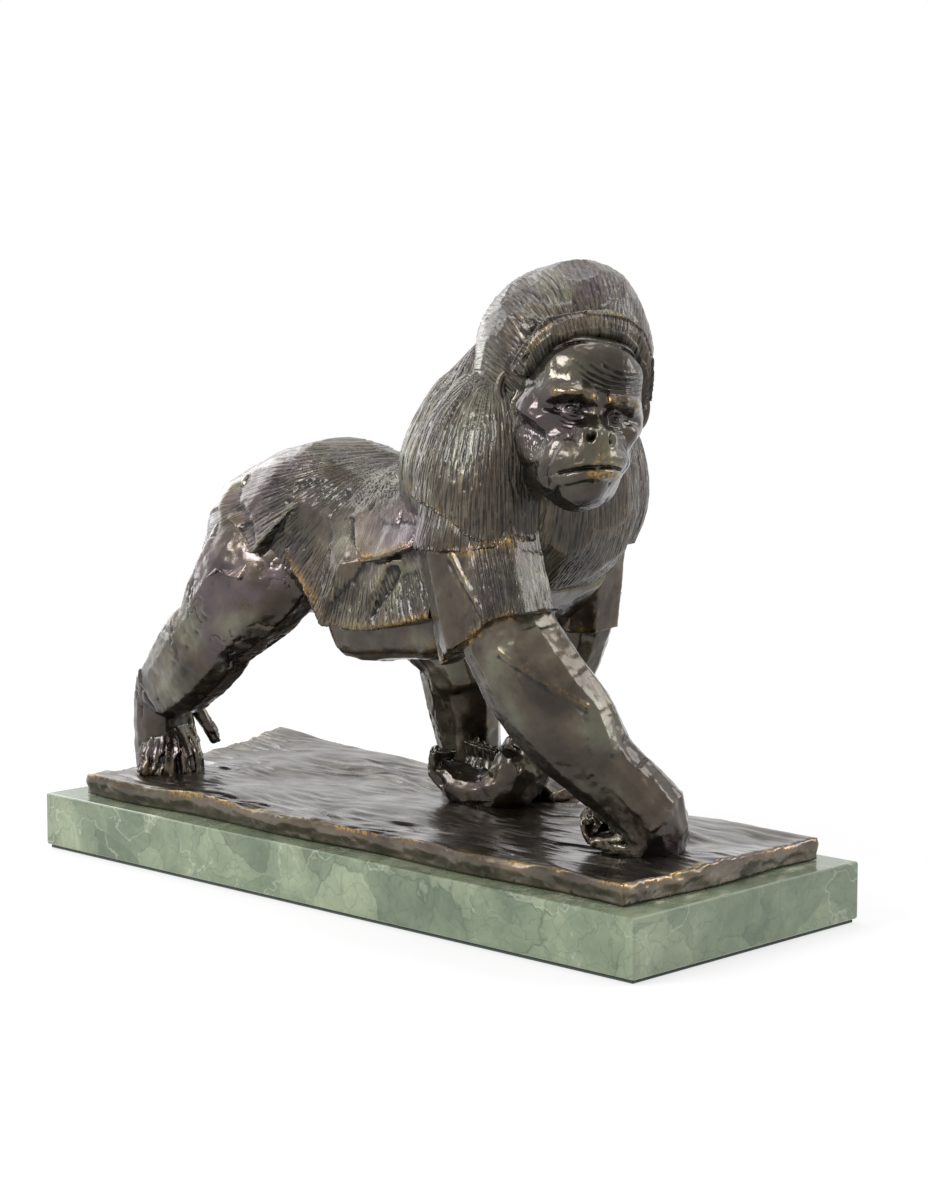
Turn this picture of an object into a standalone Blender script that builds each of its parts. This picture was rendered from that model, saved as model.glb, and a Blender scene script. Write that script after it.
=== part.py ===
"""Bronze gorilla walking on its knuckles, on an uneven ground plate, screwed to a green marble plinth.

Lengths are in millimetres and become metres where a mesh is made. The gorilla walks towards +X,
its right side is -Y, and the middle of the plinth's underside is the origin.
"""

import math

import bmesh
import bpy
import numpy as np
from mathutils import Matrix, Vector

MM = 0.001
GAP = 0.3

# Felt and marble
FELT_THICKNESS = 1.2
FELT_INSET = 1.5
FELT_ARRIS = 0.3
PLINTH_LENGTH = 350.0
PLINTH_WIDTH = 138.0
PLINTH_HEIGHT = 23.5
PLINTH_ARRIS = 1.1

# Ground plate of the casting
PLATE_LENGTH = 322.0
PLATE_WIDTH = 118.0
PLATE_THICKNESS = 9.6
PLATE_OFFSET_X = 0.5
PLATE_OFFSET_Y = 1.5
PLATE_WAVE = 1.5
PLATE_RAISED_CORNER = 6.5

# Fasteners under the plinth
SCREW_SPACING = 190.0
SCREW_DIAMETER = 6.0
SCREW_REACH = 7.0
HEAD_DIAMETER = 10.0
HEAD_HEIGHT = 4.0
SOCKET_DEPTH = 2.0
SOCKET_WIDTH = 4.0
WASHER_DIAMETER = 16.0
WASHER_THICKNESS = 1.6
COUNTERBORE_DIAMETER = 19.0
COUNTERBORE_DEPTH = 9.0
CLEARANCE = 0.5

# Fineness of the casting
VOXEL = 1.5
CASTING_TRIANGLES = 11600

# Levels, from the surface that the felt stands on
PLINTH_BOTTOM = FELT_THICKNESS + GAP
PLINTH_TOP = PLINTH_BOTTOM + PLINTH_HEIGHT
PLATE_BOTTOM = PLINTH_TOP + GAP
GROUND = PLATE_BOTTOM + PLATE_THICKNESS

# The figure is drawn for a plate of this length and width, with its ground at this height, and is
# scaled down or up to the plate that carries it
DRAWN_FOR = (322.0, 118.0, 35.0)
FIGURE_SCALE = min(PLATE_LENGTH / DRAWN_FOR[0], PLATE_WIDTH / DRAWN_FOR[1])

# The trunk, as sections along X: x, top, bottom, half width, height of the widest line
TRUNK = [
    (-113, 156, 138, 8, 147),
    (-109, 164, 127, 18, 147),
    (-102, 172, 118, 28, 145),
    (-90, 177, 108, 34, 142),
    (-72, 184, 110, 37, 148),
    (-52, 188, 113, 37, 150),
    (-32, 184, 113, 37, 142),
    (-14, 179, 112, 39, 136),
    (6, 184, 114, 40, 136),
    (30, 190, 118, 41, 142),
    (52, 202, 123, 41, 155),
    (76, 204, 130, 38, 168),
    (93, 194, 144, 28, 172),
    (99, 184, 158, 14, 172),
]
BELLY = [
    (-44, 150, 118, 24, 136),
    (-28, 150, 93, 27, 116),
    (5, 150, 96, 29, 118),
    (32, 150, 101, 30, 120),
    (60, 155, 115, 28, 130),
    (80, 165, 132, 22, 146),
]

# Rounded haunches at the back of the trunk: middle and radii
HAUNCHES = [
    ((-87, -18, 147), (23, 20, 26)),
    ((-84, 17, 147), (25, 20, 27)),
]

# Limbs, as stations along each: x, y, z, half width across, half depth
RIGHT_THIGH = [
    (-58, -12, 156, 17, 32),
    (-70, -20, 142, 19, 32),
    (-80, -27, 126, 19, 29.5),
    (-93, -30, 111, 17, 24),
    (-102, -31, 101, 15, 20),
]
RIGHT_CALF = [
    (-97, -31, 104, 14, 21),
    (-106, -31, 97, 15, 22),
    (-117, -30, 88, 14.5, 21),
    (-128, -28, 80, 13.5, 19),
    (-140, -26, 72, 12.5, 15.5),
]
RIGHT_FOOT = [
    (-144, -25, 76, 11, 13),
    (-147, -24, 64, 12.5, 13.5),
    (-148, -22, 52, 15, 13),
    (-147, -21, 42, 17, 13),
    (-146, -20, 33, 17.5, 13),
]
LEFT_THIGH = [
    (-66, 16, 150, 19, 26),
    (-49, 23, 132, 18, 27),
    (-29, 27, 112, 17, 23),
    (-13, 30, 96, 16, 18),
    (-9, 32, 82, 14, 18),
]
LEFT_CALF = [
    (-12, 31, 90, 14, 19),
    (-13, 35, 72, 13, 18),
    (-14, 39, 56, 12, 15),
    (-15, 42, 44, 12, 14),
    (-14, 43, 33, 12, 14),
]
LEFT_FOOT = [
    (-24, 43, 42, 10.5, 9),
    (-10, 44, 43, 11.5, 11),
    (6, 46, 41, 12, 9),
    (22, 46.5, 38.5, 12.5, 6),
    (32, 47, 37.5, 12, 5),
]
RIGHT_SLEEVE = [
    (65, -36, 165, 18, 26),
    (67, -38, 152, 19, 27),
    (74, -41, 136, 19, 27),
    (81, -43, 118, 18, 27),
    (85, -43, 106, 17, 26),
]
RIGHT_FOREARM = [
    (79, -40, 137, 17, 20),
    (86, -41, 119, 17, 20),
    (98, -38, 100, 17, 21.5),
    (107, -32, 86, 16, 22),
    (114, -27, 75, 14.5, 19),
    (121, -22, 66, 13.5, 15.5),
    (130, -16, 57, 13.5, 14.5),
    (136, -11, 49, 14, 14),
]
# The flat back of the right sleeve, and the line of its free edge: x and height
SLEEVE_PLANE = [(35, -41, 150), (68, -57, 154), (91, -61, 127), (86, -59, 112), (53, -47, 104)]
SLEEVE_EDGE = [(30, 100), (51, 104), (55, 104.5), (62, 109), (74, 115), (92, 127), (104, 130), (115, 131)]
LEFT_SLEEVE = [
    (60, 27, 172, 19, 22),
    (60, 30, 152, 17, 19),
    (57, 33, 132, 16, 17.5),
    (54.5, 35, 114, 15.5, 16.5),
]
LEFT_FOREARM = [
    (58, 36, 130, 13, 15),
    (52, 36, 110, 12.5, 14),
    (46, 34, 92, 12, 13),
    (39, 31, 74, 10.5, 11.5),
    (35, 28, 60, 10.5, 11),
    (31, 24, 48, 12, 12),
]

# Hair masses over the shoulders, as stations down each: x, y, z, half width across, half depth
MANTLE = [
    (64, -9, 224, 20, 22),
    (58, -5, 212, 28, 30),
    (54, -3, 202, 36, 38),
    (52, -2, 190, 42, 44),
    (52, -2, 177, 44, 46),
    (56, -2, 166, 40, 42),
]
RIGHT_CAPE = [
    (64, -14, 208, 22, 26),
    (65, -24, 194, 25, 31),
    (65, -31, 178, 25, 32),
    (66, -36, 163, 22.5, 30.5),
    (67, -38, 152, 20.5, 29),
    (67, -38, 143, 20, 28.5),
]
# The layer under it, which stands back below the upper edge and reaches out again at its own
RIGHT_UNDER_CAPE = [
    (64, -14, 208, 20, 24),
    (65, -24, 194, 22, 28),
    (65, -31, 178, 21.5, 28.5),
    (66, -35.5, 163, 20, 28),
    (67, -38, 152, 20.5, 29),
    (67, -38, 143, 20, 28.5),
]
# Free edges of the two layers of the right cape, and of the left cape: x and height
UPPER_CAPE_EDGE = [
    (20, 175), (32, 173), (48, 171), (57, 169), (68, 165), (74, 161), (81, 156.5), (88, 156), (96, 158), (110, 159),
]
LOWER_CAPE_EDGE = [(20, 150), (41, 151), (62, 151.5), (78, 152), (86, 154.5), (96, 157), (110, 158)]
LEFT_CAPE_EDGE = [(20, 150), (45, 149), (70, 148), (90, 150)]
LEFT_CAPE = [
    (64, 15, 200, 20, 24),
    (64, 22, 186, 24, 27),
    (64, 25, 170, 25, 28),
    (61, 25, 155, 23, 25.5),
    (60, 25, 147, 22, 24.5),
    (60, 25, 140, 21.5, 24),
]

# The head: middle between the eyes, and the way the face is turned, in degrees
EYES = (118.5, -28.0, 206.7)
FACE_TURN = -30.0
FACE_NOD = -4.5
FACE_TILT = -10.5
# The hood of hair, as sections up the head: forward, left, up of its middle, half width, half length
HOOD = [
    (-44, 0, -14, 26, 28),
    (-45, 0, -6, 32, 36),
    (-46, 1, 6, 34, 38),
    (-46, 2, 19, 35.5, 38),
    (-45, 3.5, 29, 34.5, 36),
    (-43, 5, 39, 30.5, 32),
    (-40, 6, 46.5, 24, 25.5),
    (-38, 6, 52, 15.5, 17),
]

# The curled fingers of the right fist, as turns round the curl
CURL_OPENING = 4.2
CURL_DEPTH = 14.0
CURL_MIDDLE = (115.5, -19, 44.5)
CURL_RADIUS = 7.0
CURL_TURNS = [math.radians(-70 - 42 * i) for i in range(7)]

# Flaps of hair that end in a free edge: points of the root, then points of the edge
FLAPS = {
    "haunch": (
        [(-98, -26, 160), (-90, -28, 168), (-72, -28, 174), (-52, -28, 175), (-36, -28, 170)],
        [(-84, -39, 155), (-73, -43, 147), (-62, -46, 140), (-49, -43, 152), (-36, -39, 164)],
    ),
    "knee": (
        [(-104, -32, 143), (-94, -34, 146), (-84, -35, 148), (-72, -35, 146)],
        [(-104, -44, 120), (-92, -48, 124), (-82, -48, 131), (-68, -48, 127)],
    ),
    "rib": (
        [(-8, -34, 160), (4, -34, 168), (18, -34, 170), (36, -34, 166)],
        [(-8, -42, 156), (6, -46, 143), (18, -47, 147), (33, -46, 151)],
    ),
    "flank": (
        [(-48, -28, 160), (-30, -30, 162), (4, -32, 160), (34, -34, 160)],
        [(-47, -38, 139), (-20, -43, 113), (10, -45, 114), (46, -46, 122)],
    ),
    "shoulder": (
        [(10, -14, 188), (26, -20, 196), (44, -26, 200), (62, -34, 192)],
        [(12, -30, 177), (28, -42, 172), (44, -51, 167), (60, -56, 164)],
    ),
}


def clear_scene():
    for obj in list(bpy.data.objects):
        bpy.data.objects.remove(obj, do_unlink=True)


def collection_named(name):
    made = bpy.data.collections.new(name)
    bpy.context.scene.collection.children.link(made)
    return made


def principled(name, colour, roughness, metallic):
    material = bpy.data.materials.new(name)
    material.use_nodes = True
    shader = material.node_tree.nodes["Principled BSDF"]
    shader.inputs["Base Color"].default_value = (*colour, 1.0)
    shader.inputs["Roughness"].default_value = roughness
    shader.inputs["Metallic"].default_value = metallic
    return material


def add_object(mesh, name, home, material=None):
    obj = bpy.data.objects.new(name, mesh)
    home.objects.link(obj)
    if material:
        mesh.materials.append(material)
    return obj


def loft_into(bm, rings):
    """A closed skin through rings of equal length, capped at both ends."""
    rows = [[bm.verts.new(Vector(p) * MM) for p in ring] for ring in rings]
    count = len(rings[0])
    faces = []
    for lower, upper in zip(rows, rows[1:]):
        for i in range(count):
            j = (i + 1) % count
            faces.append(bm.faces.new((lower[i], lower[j], upper[j], upper[i])))
    faces.append(bm.faces.new(rows[0][::-1]))
    faces.append(bm.faces.new(rows[-1]))
    bmesh.ops.recalc_face_normals(bm, faces=faces)


def unit_outline(count, power):
    """A rounded outline about the origin: power 1 is a circle, and less is boxier."""
    outline = []
    for i in range(count):
        turn = 2 * math.pi * (i + 0.5) / count
        c, s = math.cos(turn), math.sin(turn)
        outline.append((math.copysign(abs(c) ** power, c), math.copysign(abs(s) ** power, s)))
    return outline


def eased(stations, steps=3):
    """More stations between those given, on a smooth curve through them."""
    given = np.array(stations, float)
    padded = np.vstack([2 * given[0] - given[1], given, 2 * given[-1] - given[-2]])
    made = []
    for i in range(1, len(padded) - 2):
        a, b, c, d = padded[i - 1:i + 3]
        for t in np.arange(steps) / steps:
            slope = (c - a) * t
            bend = (2 * a - 5 * b + 4 * c - d) * t**2 + (3 * b - a - 3 * c + d) * t**3
            made.append(tuple(0.5 * (2 * b + slope + bend)))
    made.append(tuple(given[-1]))
    return made


def limb_into(bm, stations, across=(0, 1, 0), count=10, power=0.85, ends=0.45):
    """A limb through its stations, with each section square to the path and its ends drawn in."""
    middles = [Vector(s[:3]) for s in stations]
    outline = unit_outline(count, power)
    rings = []
    for i, station in enumerate(stations):
        ahead = middles[min(i + 1, len(middles) - 1)] - middles[max(i - 1, 0)]
        ahead.normalize()
        side = Vector(across) - ahead * ahead.dot(Vector(across))
        side.normalize()
        deep = ahead.cross(side)
        ring = [middles[i] + side * (a * station[3]) + deep * (d * station[4]) for a, d in outline]
        if i == 0 and ends:
            rings.append([middles[0].lerp(p, 0.6) - ahead * (ends * station[3]) for p in ring])
        rings.append(ring)
        if i == len(stations) - 1 and ends:
            rings.append([middles[-1].lerp(p, 0.6) + ahead * (ends * station[3]) for p in ring])
    loft_into(bm, rings)


def tube_into(bm, points, radius):
    limb_into(bm, eased([(*p, radius, radius) for p in points], 2), (0.3, 0.9, 0.2), 8, 1.0)


def trimmed_limb_into(bm, stations, edge, slab=None):
    """A limb of hair cut off along a free edge, which is given as x and height."""
    before = set(bm.verts)
    limb_into(bm, eased(stations, 5), (0, 1, 0), 20 if slab is None else 8, ends=0)
    if slab:
        outer = [Vector(p) for p in slab]
        loft_into(bm, [outer, [p + Vector((3, 15, 4)) for p in outer]])
    xs, heights = zip(*edge)
    for vert in set(bm.verts) - before:
        cut_at = float(np.interp(vert.co.x / MM, xs, heights))
        vert.co.z = max(vert.co.z, cut_at * MM)


def trunk_into(bm, sections, count=20, power=0.8):
    """A mass along X whose sections have their own top, bottom, half width and widest line."""
    rings = []
    for x, top, bottom, half, widest in eased(sections, 2):
        ring = []
        for a, b in unit_outline(count, power):
            reach = top - widest if b > 0 else widest - bottom
            ring.append((x, a * half, widest + b * reach))
        rings.append(ring)
    loft_into(bm, rings)


def ball_into(bm, middle, radii, turn=None):
    """A rounded mass: an icosphere stretched to its radii."""
    turn = turn or Matrix.Identity(3)
    made = bmesh.ops.create_icosphere(bm, subdivisions=3, radius=1.0)
    for vert in made["verts"]:
        stretched = Vector(vert.co[i] * radii[i] for i in range(3))
        vert.co = (Vector(middle) + turn @ stretched) * MM


def flap_into(bm, root, edge, thickness=7.0):
    """A flap of hair that starts flush with the body and ends in a thick free edge."""
    inward = Vector((0, thickness, 0))
    outer = [Vector(p) for p in eased(root, 4)]
    lip = [Vector(p) for p in eased(edge, 4)]
    loft_into(bm, [
        [outer[i], lip[i], lip[i] + inward, outer[i] + inward] for i in range(len(outer))
    ])


def face_frame():
    return (
        Matrix.Rotation(math.radians(FACE_TURN), 3, "Z")
        @ Matrix.Rotation(math.radians(FACE_NOD), 3, "Y")
        @ Matrix.Rotation(math.radians(FACE_TILT), 3, "X")
    )


def on_face(point, frame):
    return Vector(EYES) + frame @ Vector(point)


def head_into(bm):
    """The face and the hood, in the face's own directions: forward, left, up from between the eyes."""
    frame = face_frame()
    turned = Matrix.Rotation(math.radians(FACE_TURN), 3, "Z")

    def ball(point, radii):
        ball_into(bm, on_face(point, frame), radii, frame)

    def bar(points, across=(0, 0, 1), count=8):
        limb_into(bm, [(*on_face(p[:3], frame), p[3], p[4]) for p in points], frame @ Vector(across), count, 0.95)

    # Skull, temples, cheeks and jaw
    ball((-25, 0, 6), (25, 24, 26))
    ball((-18, 0, -6), (16.5, 20.5, 22))
    ball((-14, 0, -22), (15, 16.5, 14))
    for side in (-1, 1):
        ball((-13, side * 5.5, 15), (15.5, 14, 12))
        ball((-19, side * 12, 0), (15.5, 13, 14))
        ball((-13, side * 12.5, -9.5), (10, 9, 6))
        ball((-22, side * 16, -13), (13, 9, 14))
        ball((-17, side * 12, -24), (13, 8, 10))
        # Eyeball, nostril wing and ear
        ball((-3.6, side * 9.2, -1), (4.3, 4.3, 4.3))
        ball((6.8, side * 4.8, -9.8), (5.2, 4.3, 4.4))
        ball((-27, side * 25, 4.5), (4.5, 3.2, 8.2))
    # Brow, dipping to the middle
    bar([
        (-12, -20, 3, 3, 4), (-5, -17, 5.4, 3.2, 5), (0.4, -12, 6.8, 3.4, 5.5), (3.6, -6, 6.2, 3.4, 5.5),
        (4, 0, 5.6, 3.4, 5), (3.6, 6, 6.2, 3.4, 5.5), (0.4, 12, 6.8, 3.4, 5.5), (-5, 17, 5.4, 3.2, 5),
        (-12, 20, 3, 3, 4),
    ])
    # Nose, muzzle, lips and chin
    bar([
        (0, 0, 6, 3.6, 4.5), (3.6, 0, 0, 3, 4), (7.5, 0, -5, 3.4, 4.5), (9.6, 0, -9, 3.6, 4.6), (8.5, 0, -13, 4, 5),
    ], (0, 1, 0))
    ball((-2, 0, -16), (13.5, 15.5, 9.5))
    bar([
        (-1, -13.5, -24, 2.4, 4), (4.5, -10.2, -22, 2.8, 4.5), (9, -5.5, -20.9, 3.2, 4.5), (10.6, 0, -20.7, 3.2, 4.5),
        (9, 5.5, -20.9, 3.2, 4.5), (4.5, 10.2, -22, 2.8, 4.5), (-1, 13.5, -24, 2.4, 4),
    ])
    bar([
        (-1, -12, -27.6, 2.2, 4), (4.5, -9, -26.4, 2.4, 4.5), (8.6, -4.5, -25.8, 2.6, 4.5), (9.8, 0, -25.7, 2.6, 4.5),
        (8.6, 4.5, -25.8, 2.6, 4.5), (4.5, 9, -26.4, 2.4, 4.5), (-1, 12, -27.6, 2.2, 4),
    ])
    ball((-4.5, 0, -32), (11.5, 11, 7.5))
    ball((-8, 0, -27), (12, 14, 9))
    # Hood of hair, and its step above the forehead
    hood = []
    for forward, left, up, half, length in HOOD:
        middle = Vector(EYES) + turned @ Vector((forward, left, up))
        hood.append((*middle, half, length))
    limb_into(bm, eased(hood), turned @ Vector((0, 1, 0)), 24, 0.95, 0.2)
    arch = [
        (-24, -25.5, 4, 5, 5), (-18, -24, 17, 5, 5.5), (-12, -16.5, 29, 5, 6), (-9.5, 0, 34.5, 5, 6.5),
        (-12, 14, 31.5, 5, 6), (-17, 21.5, 20, 5, 5.5), (-24, 25, 5, 5, 5),
    ]
    bar(arch, (1, 0, 0))


def hands_and_feet_into(bm):
    # Right fist on its knuckles, with its fingers folded back under it into a curl
    limb_into(bm, [(134, -13, 54, 13, 14), (134, -11, 46, 14, 15), (132, -9, 39, 14, 15.5), (131, -9, 31, 13, 15)])
    limb_into(bm, [(136, -14, 38, 9, 6), (126, -17, 37.5, 8, 5.5), (116, -19, 37.5, 7, 4.5)], (0, 1, 0), 8)
    x, y, z = CURL_MIDDLE
    curl = [(x + CURL_RADIUS * math.cos(t), y, z + CURL_RADIUS * math.sin(t), 6, 3.2) for t in CURL_TURNS]
    limb_into(bm, curl, (0, 1, 0), 8)
    # Left hand: bent like a boat, with the tips of its fingers standing in a ring
    limb_into(bm, eased([
        (33, 24, 54, 12, 11), (29, 21, 43, 12, 10.5), (18, 17, 39.5, 11, 8.5), (6, 15, 41, 10, 8), (0, 14, 46, 8.5, 6),
    ], 2))
    tube_into(bm, [(1, 8, 42), (-3, 6, 49), (-2.5, 6, 56)], 3.1)
    tube_into(bm, [(1, 14, 44), (-4, 14, 51), (-2, 14, 56)], 2.8)
    for i in range(4):
        x = 1.5 + 4.6 * i
        tube_into(bm, [(x, 24, 42), (x - 1, 27.5, 51), (x - 0.3, 25.5, 58.5 - 0.5 * i)], 2.5)
    # Right foot: four toes gripping, and the great toe held off the ground
    for i in range(4):
        x, y = -151 + i * 5.2, -32.5 + i * 6.2
        tube_into(bm, [(x - 1, y + 4, 52), (x + 1, y, 44), (x + 3.4, y - 3.2, 38.5), (x + 4, y - 4.4, 34.5)], 3.5)
    tube_into(bm, [(-141, -12, 66), (-142, -5, 58), (-143, 1.5, 50.5)], 4.9)
    # Left foot: toes pointing forwards
    for i in range(4):
        y = 38.5 + i * 4.9
        limb_into(bm, [(20, y, 39, 3, 4), (30 - i * 1.5, y, 39.5, 3, 3.4), (37 - i * 2, y, 37, 2.8, 3)], (0, 1, 0), 6)


def on_plate(point):
    """Where a point of the drawn figure comes to on the plate."""
    x, y, z = point
    return Vector((x * FIGURE_SCALE, y * FIGURE_SCALE, GROUND + (z - DRAWN_FOR[2]) * FIGURE_SCALE))


def plate_top(x, y):
    """The height of the uneven ground, with its back corner drawn up."""
    along = (x - PLATE_OFFSET_X) / (PLATE_LENGTH / 2)
    over = (y - PLATE_OFFSET_Y) / (PLATE_WIDTH / 2)
    wave = math.sin(x * 0.041 + 1.3) * math.cos(y * 0.083 + 0.4) + 0.5 * math.sin(x * 0.093 - y * 0.05)
    near_corner = max(0.0, 1 - math.hypot(along + 1, over - 1) / 1.1)
    return GROUND - 0.6 + 0.45 * PLATE_WAVE * wave + PLATE_RAISED_CORNER * near_corner**1.5


def plate_into(bm, columns=46, rows=18):
    """The ground plate: sections along X, with wavy sides and ends, run on below its flat underside."""
    floor = PLATE_BOTTOM - 4.0
    rings = []
    for i in range(columns + 1):
        share = i / columns
        x = PLATE_OFFSET_X + (share - 0.5) * PLATE_LENGTH
        near = PLATE_OFFSET_Y - PLATE_WIDTH / 2 + 0.8 * PLATE_WAVE * math.sin(x * 0.06)
        far = PLATE_OFFSET_Y + PLATE_WIDTH / 2 - PLATE_WAVE * math.sin(x * 0.045 + 1)
        ring = [(x, near, floor), (x, far, floor)]
        for j in range(rows + 1):
            y = far + (near - far) * j / rows
            bow = PLATE_WAVE * math.sin(y * 0.07 + 2) * (2 * share - 1)
            ring.append((x + bow, y, plate_top(x, y)))
        rings.append(ring)
    loft_into(bm, rings)


def screw_places():
    return [("rear", -SCREW_SPACING / 2), ("front", SCREW_SPACING / 2)]


def cylinder(name, diameter, low, high, x, home, sides=32):
    """An upright cylinder between two levels."""
    mesh = bpy.data.meshes.new(name)
    bm = bmesh.new()
    bmesh.ops.create_cone(
        bm, cap_ends=True, segments=sides, radius1=diameter / 2 * MM, radius2=diameter / 2 * MM,
        depth=(high - low) * MM,
    )
    bm.to_mesh(mesh)
    bm.free()
    obj = add_object(mesh, name, home)
    obj.location = (x * MM, 0, (low + high) / 2 * MM)
    return obj


def box(name, size, middle, home):
    mesh = bpy.data.meshes.new(name)
    bm = bmesh.new()
    bmesh.ops.create_cube(bm, size=1.0)
    for vert in bm.verts:
        vert.co = Vector(vert.co[i] * size[i] for i in range(3)) * MM
    bm.to_mesh(mesh)
    bm.free()
    obj = add_object(mesh, name, home)
    obj.location = Vector(middle) * MM
    return obj


def as_cutter(obj):
    obj.hide_render = True
    obj.display_type = "WIRE"
    return obj


def cut(obj, cutter):
    modifier = obj.modifiers.new(cutter.name, "BOOLEAN")
    modifier.operation = "DIFFERENCE"
    modifier.solver = "EXACT"
    modifier.object = as_cutter(cutter)


def apply_modifiers(obj):
    """The object's evaluated mesh takes the place of its own, and its modifiers go."""
    bpy.context.view_layer.update()
    graph = bpy.context.evaluated_depsgraph_get()
    mesh = bpy.data.meshes.new_from_object(obj.evaluated_get(graph))
    obj.modifiers.clear()
    obj.data = mesh


def build_casting(home, cutters, bronze):
    bm = bmesh.new()
    trunk_into(bm, TRUNK)
    trunk_into(bm, BELLY, 14, 0.7)
    for middle, radii in HAUNCHES:
        ball_into(bm, middle, radii)
    for stations in (RIGHT_THIGH, RIGHT_CALF, RIGHT_FOOT, LEFT_THIGH, LEFT_CALF, LEFT_FOOT):
        limb_into(bm, eased(stations), count=12)
    for stations in (RIGHT_FOREARM, LEFT_FOREARM):
        limb_into(bm, eased(stations), count=12)
    limb_into(bm, eased(LEFT_SLEEVE), count=8, ends=0)
    trimmed_limb_into(bm, RIGHT_SLEEVE, SLEEVE_EDGE, SLEEVE_PLANE)
    limb_into(bm, eased(MANTLE), (0, 1, 0), 22)
    trimmed_limb_into(bm, RIGHT_CAPE, UPPER_CAPE_EDGE)
    trimmed_limb_into(bm, RIGHT_UNDER_CAPE, LOWER_CAPE_EDGE)
    trimmed_limb_into(bm, LEFT_CAPE, LEFT_CAPE_EDGE)
    for root, edge in FLAPS.values():
        flap_into(bm, root, edge)
    head_into(bm)
    hands_and_feet_into(bm)
    for vert in bm.verts:
        vert.co = on_plate(vert.co / MM) * MM
    plate_into(bm)
    mesh = bpy.data.meshes.new("bronze_gorilla")
    bm.to_mesh(mesh)
    bm.free()
    casting = add_object(mesh, "bronze_gorilla", home, bronze)
    fuse = casting.modifiers.new("fuse", "REMESH")
    fuse.mode = "VOXEL"
    fuse.voxel_size = VOXEL * MM
    soften = casting.modifiers.new("soften", "SMOOTH")
    soften.factor = 0.5
    soften.iterations = 2
    apply_modifiers(casting)
    thin = casting.modifiers.new("thin", "DECIMATE")
    triangles = sum(len(p.vertices) - 2 for p in casting.data.polygons)
    thin.ratio = min(1.0, CASTING_TRIANGLES / triangles)
    apply_modifiers(casting)
    below = box(
        "cutter_below_plate", (2 * PLATE_LENGTH, 2 * PLATE_WIDTH, PLATE_BOTTOM), (0, 0, PLATE_BOTTOM / 2), cutters,
    )
    cut(casting, below)
    curl_opening = cylinder("cutter_curl", 2 * CURL_OPENING, 0, CURL_DEPTH, 0, cutters, 12)
    curl_opening.location = on_plate(CURL_MIDDLE) * MM
    curl_opening.rotation_euler = (math.radians(90), 0, 0)
    cut(casting, curl_opening)
    for place, x in screw_places():
        hole = cylinder(
            f"cutter_thread_{place}", SCREW_DIAMETER + 2 * GAP, PLATE_BOTTOM - 1,
            PLATE_BOTTOM + SCREW_REACH + GAP, x, cutters, 24,
        )
        cut(casting, hole)
    return casting


def build_plinth(home, cutters, marble):
    plinth = box(
        "marble_plinth", (PLINTH_LENGTH, PLINTH_WIDTH, PLINTH_HEIGHT),
        (0, 0, (PLINTH_BOTTOM + PLINTH_TOP) / 2), home,
    )
    plinth.data.materials.append(marble)
    uprights = plinth.modifiers.new("corners", "BEVEL")
    uprights.width = PLINTH_ARRIS * MM
    uprights.segments = 3
    for place, x in screw_places():
        cut(plinth, cylinder(
            f"cutter_counterbore_{place}", COUNTERBORE_DIAMETER, PLINTH_BOTTOM - 1,
            PLINTH_BOTTOM + COUNTERBORE_DEPTH, x, cutters, 40,
        ))
        cut(plinth, cylinder(
            f"cutter_clearance_{place}", SCREW_DIAMETER + 2 * CLEARANCE, PLINTH_BOTTOM,
            PLINTH_TOP + 1, x, cutters, 24,
        ))
    return plinth


def build_felt(home, felt):
    pad = box(
        "felt_pad", (PLINTH_LENGTH - 2 * FELT_INSET, PLINTH_WIDTH - 2 * FELT_INSET, FELT_THICKNESS),
        (0, 0, FELT_THICKNESS / 2), home,
    )
    pad.data.materials.append(felt)
    corners = pad.modifiers.new("corners", "BEVEL")
    corners.width = FELT_ARRIS * MM
    return pad


def turned(name, profile, x, home, material, sides=32):
    """A solid turned about an upright axis from a profile of radius and height."""
    mesh = bpy.data.meshes.new(name)
    mesh.from_pydata([(r * MM, 0, z * MM) for r, z in profile], [(i, i + 1) for i in range(len(profile) - 1)], [])
    obj = add_object(mesh, name, home, material)
    obj.location = (x * MM, 0, 0)
    screw = obj.modifiers.new("turn", "SCREW")
    screw.axis = "Z"
    screw.steps = screw.render_steps = sides
    screw.use_merge_vertices = True
    screw.merge_threshold = 1e-6
    return obj


def build_fasteners(home, cutters, steel):
    seat = PLINTH_BOTTOM + COUNTERBORE_DEPTH
    for place, x in screw_places():
        washer_top = seat - GAP
        washer_bottom = washer_top - WASHER_THICKNESS
        inner = SCREW_DIAMETER / 2 + GAP
        outer = WASHER_DIAMETER / 2
        ring = turned(f"washer_{place}", [
            (inner, washer_top), (outer, washer_top), (outer, washer_bottom), (inner, washer_bottom),
            (inner, washer_top),
        ], x, home, steel)
        ring.data.shade_smooth()
        head_top = washer_bottom - GAP
        head_bottom = head_top - HEAD_HEIGHT
        tip = PLATE_BOTTOM + SCREW_REACH
        screw = turned(f"mounting_screw_{place}", [
            (0, tip), (SCREW_DIAMETER / 2 - 0.8, tip), (SCREW_DIAMETER / 2, tip - 0.8),
            (SCREW_DIAMETER / 2, head_top), (HEAD_DIAMETER / 2, head_top),
            (HEAD_DIAMETER / 2, head_bottom + 0.6), (HEAD_DIAMETER / 2 - 0.6, head_bottom),
            (0, head_bottom),
        ], x, home, steel)
        cut(screw, cylinder(
            f"cutter_socket_{place}", SOCKET_WIDTH * 2 / math.sqrt(3), head_bottom - 1,
            head_bottom + SOCKET_DEPTH, x, cutters, 6,
        ))


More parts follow.
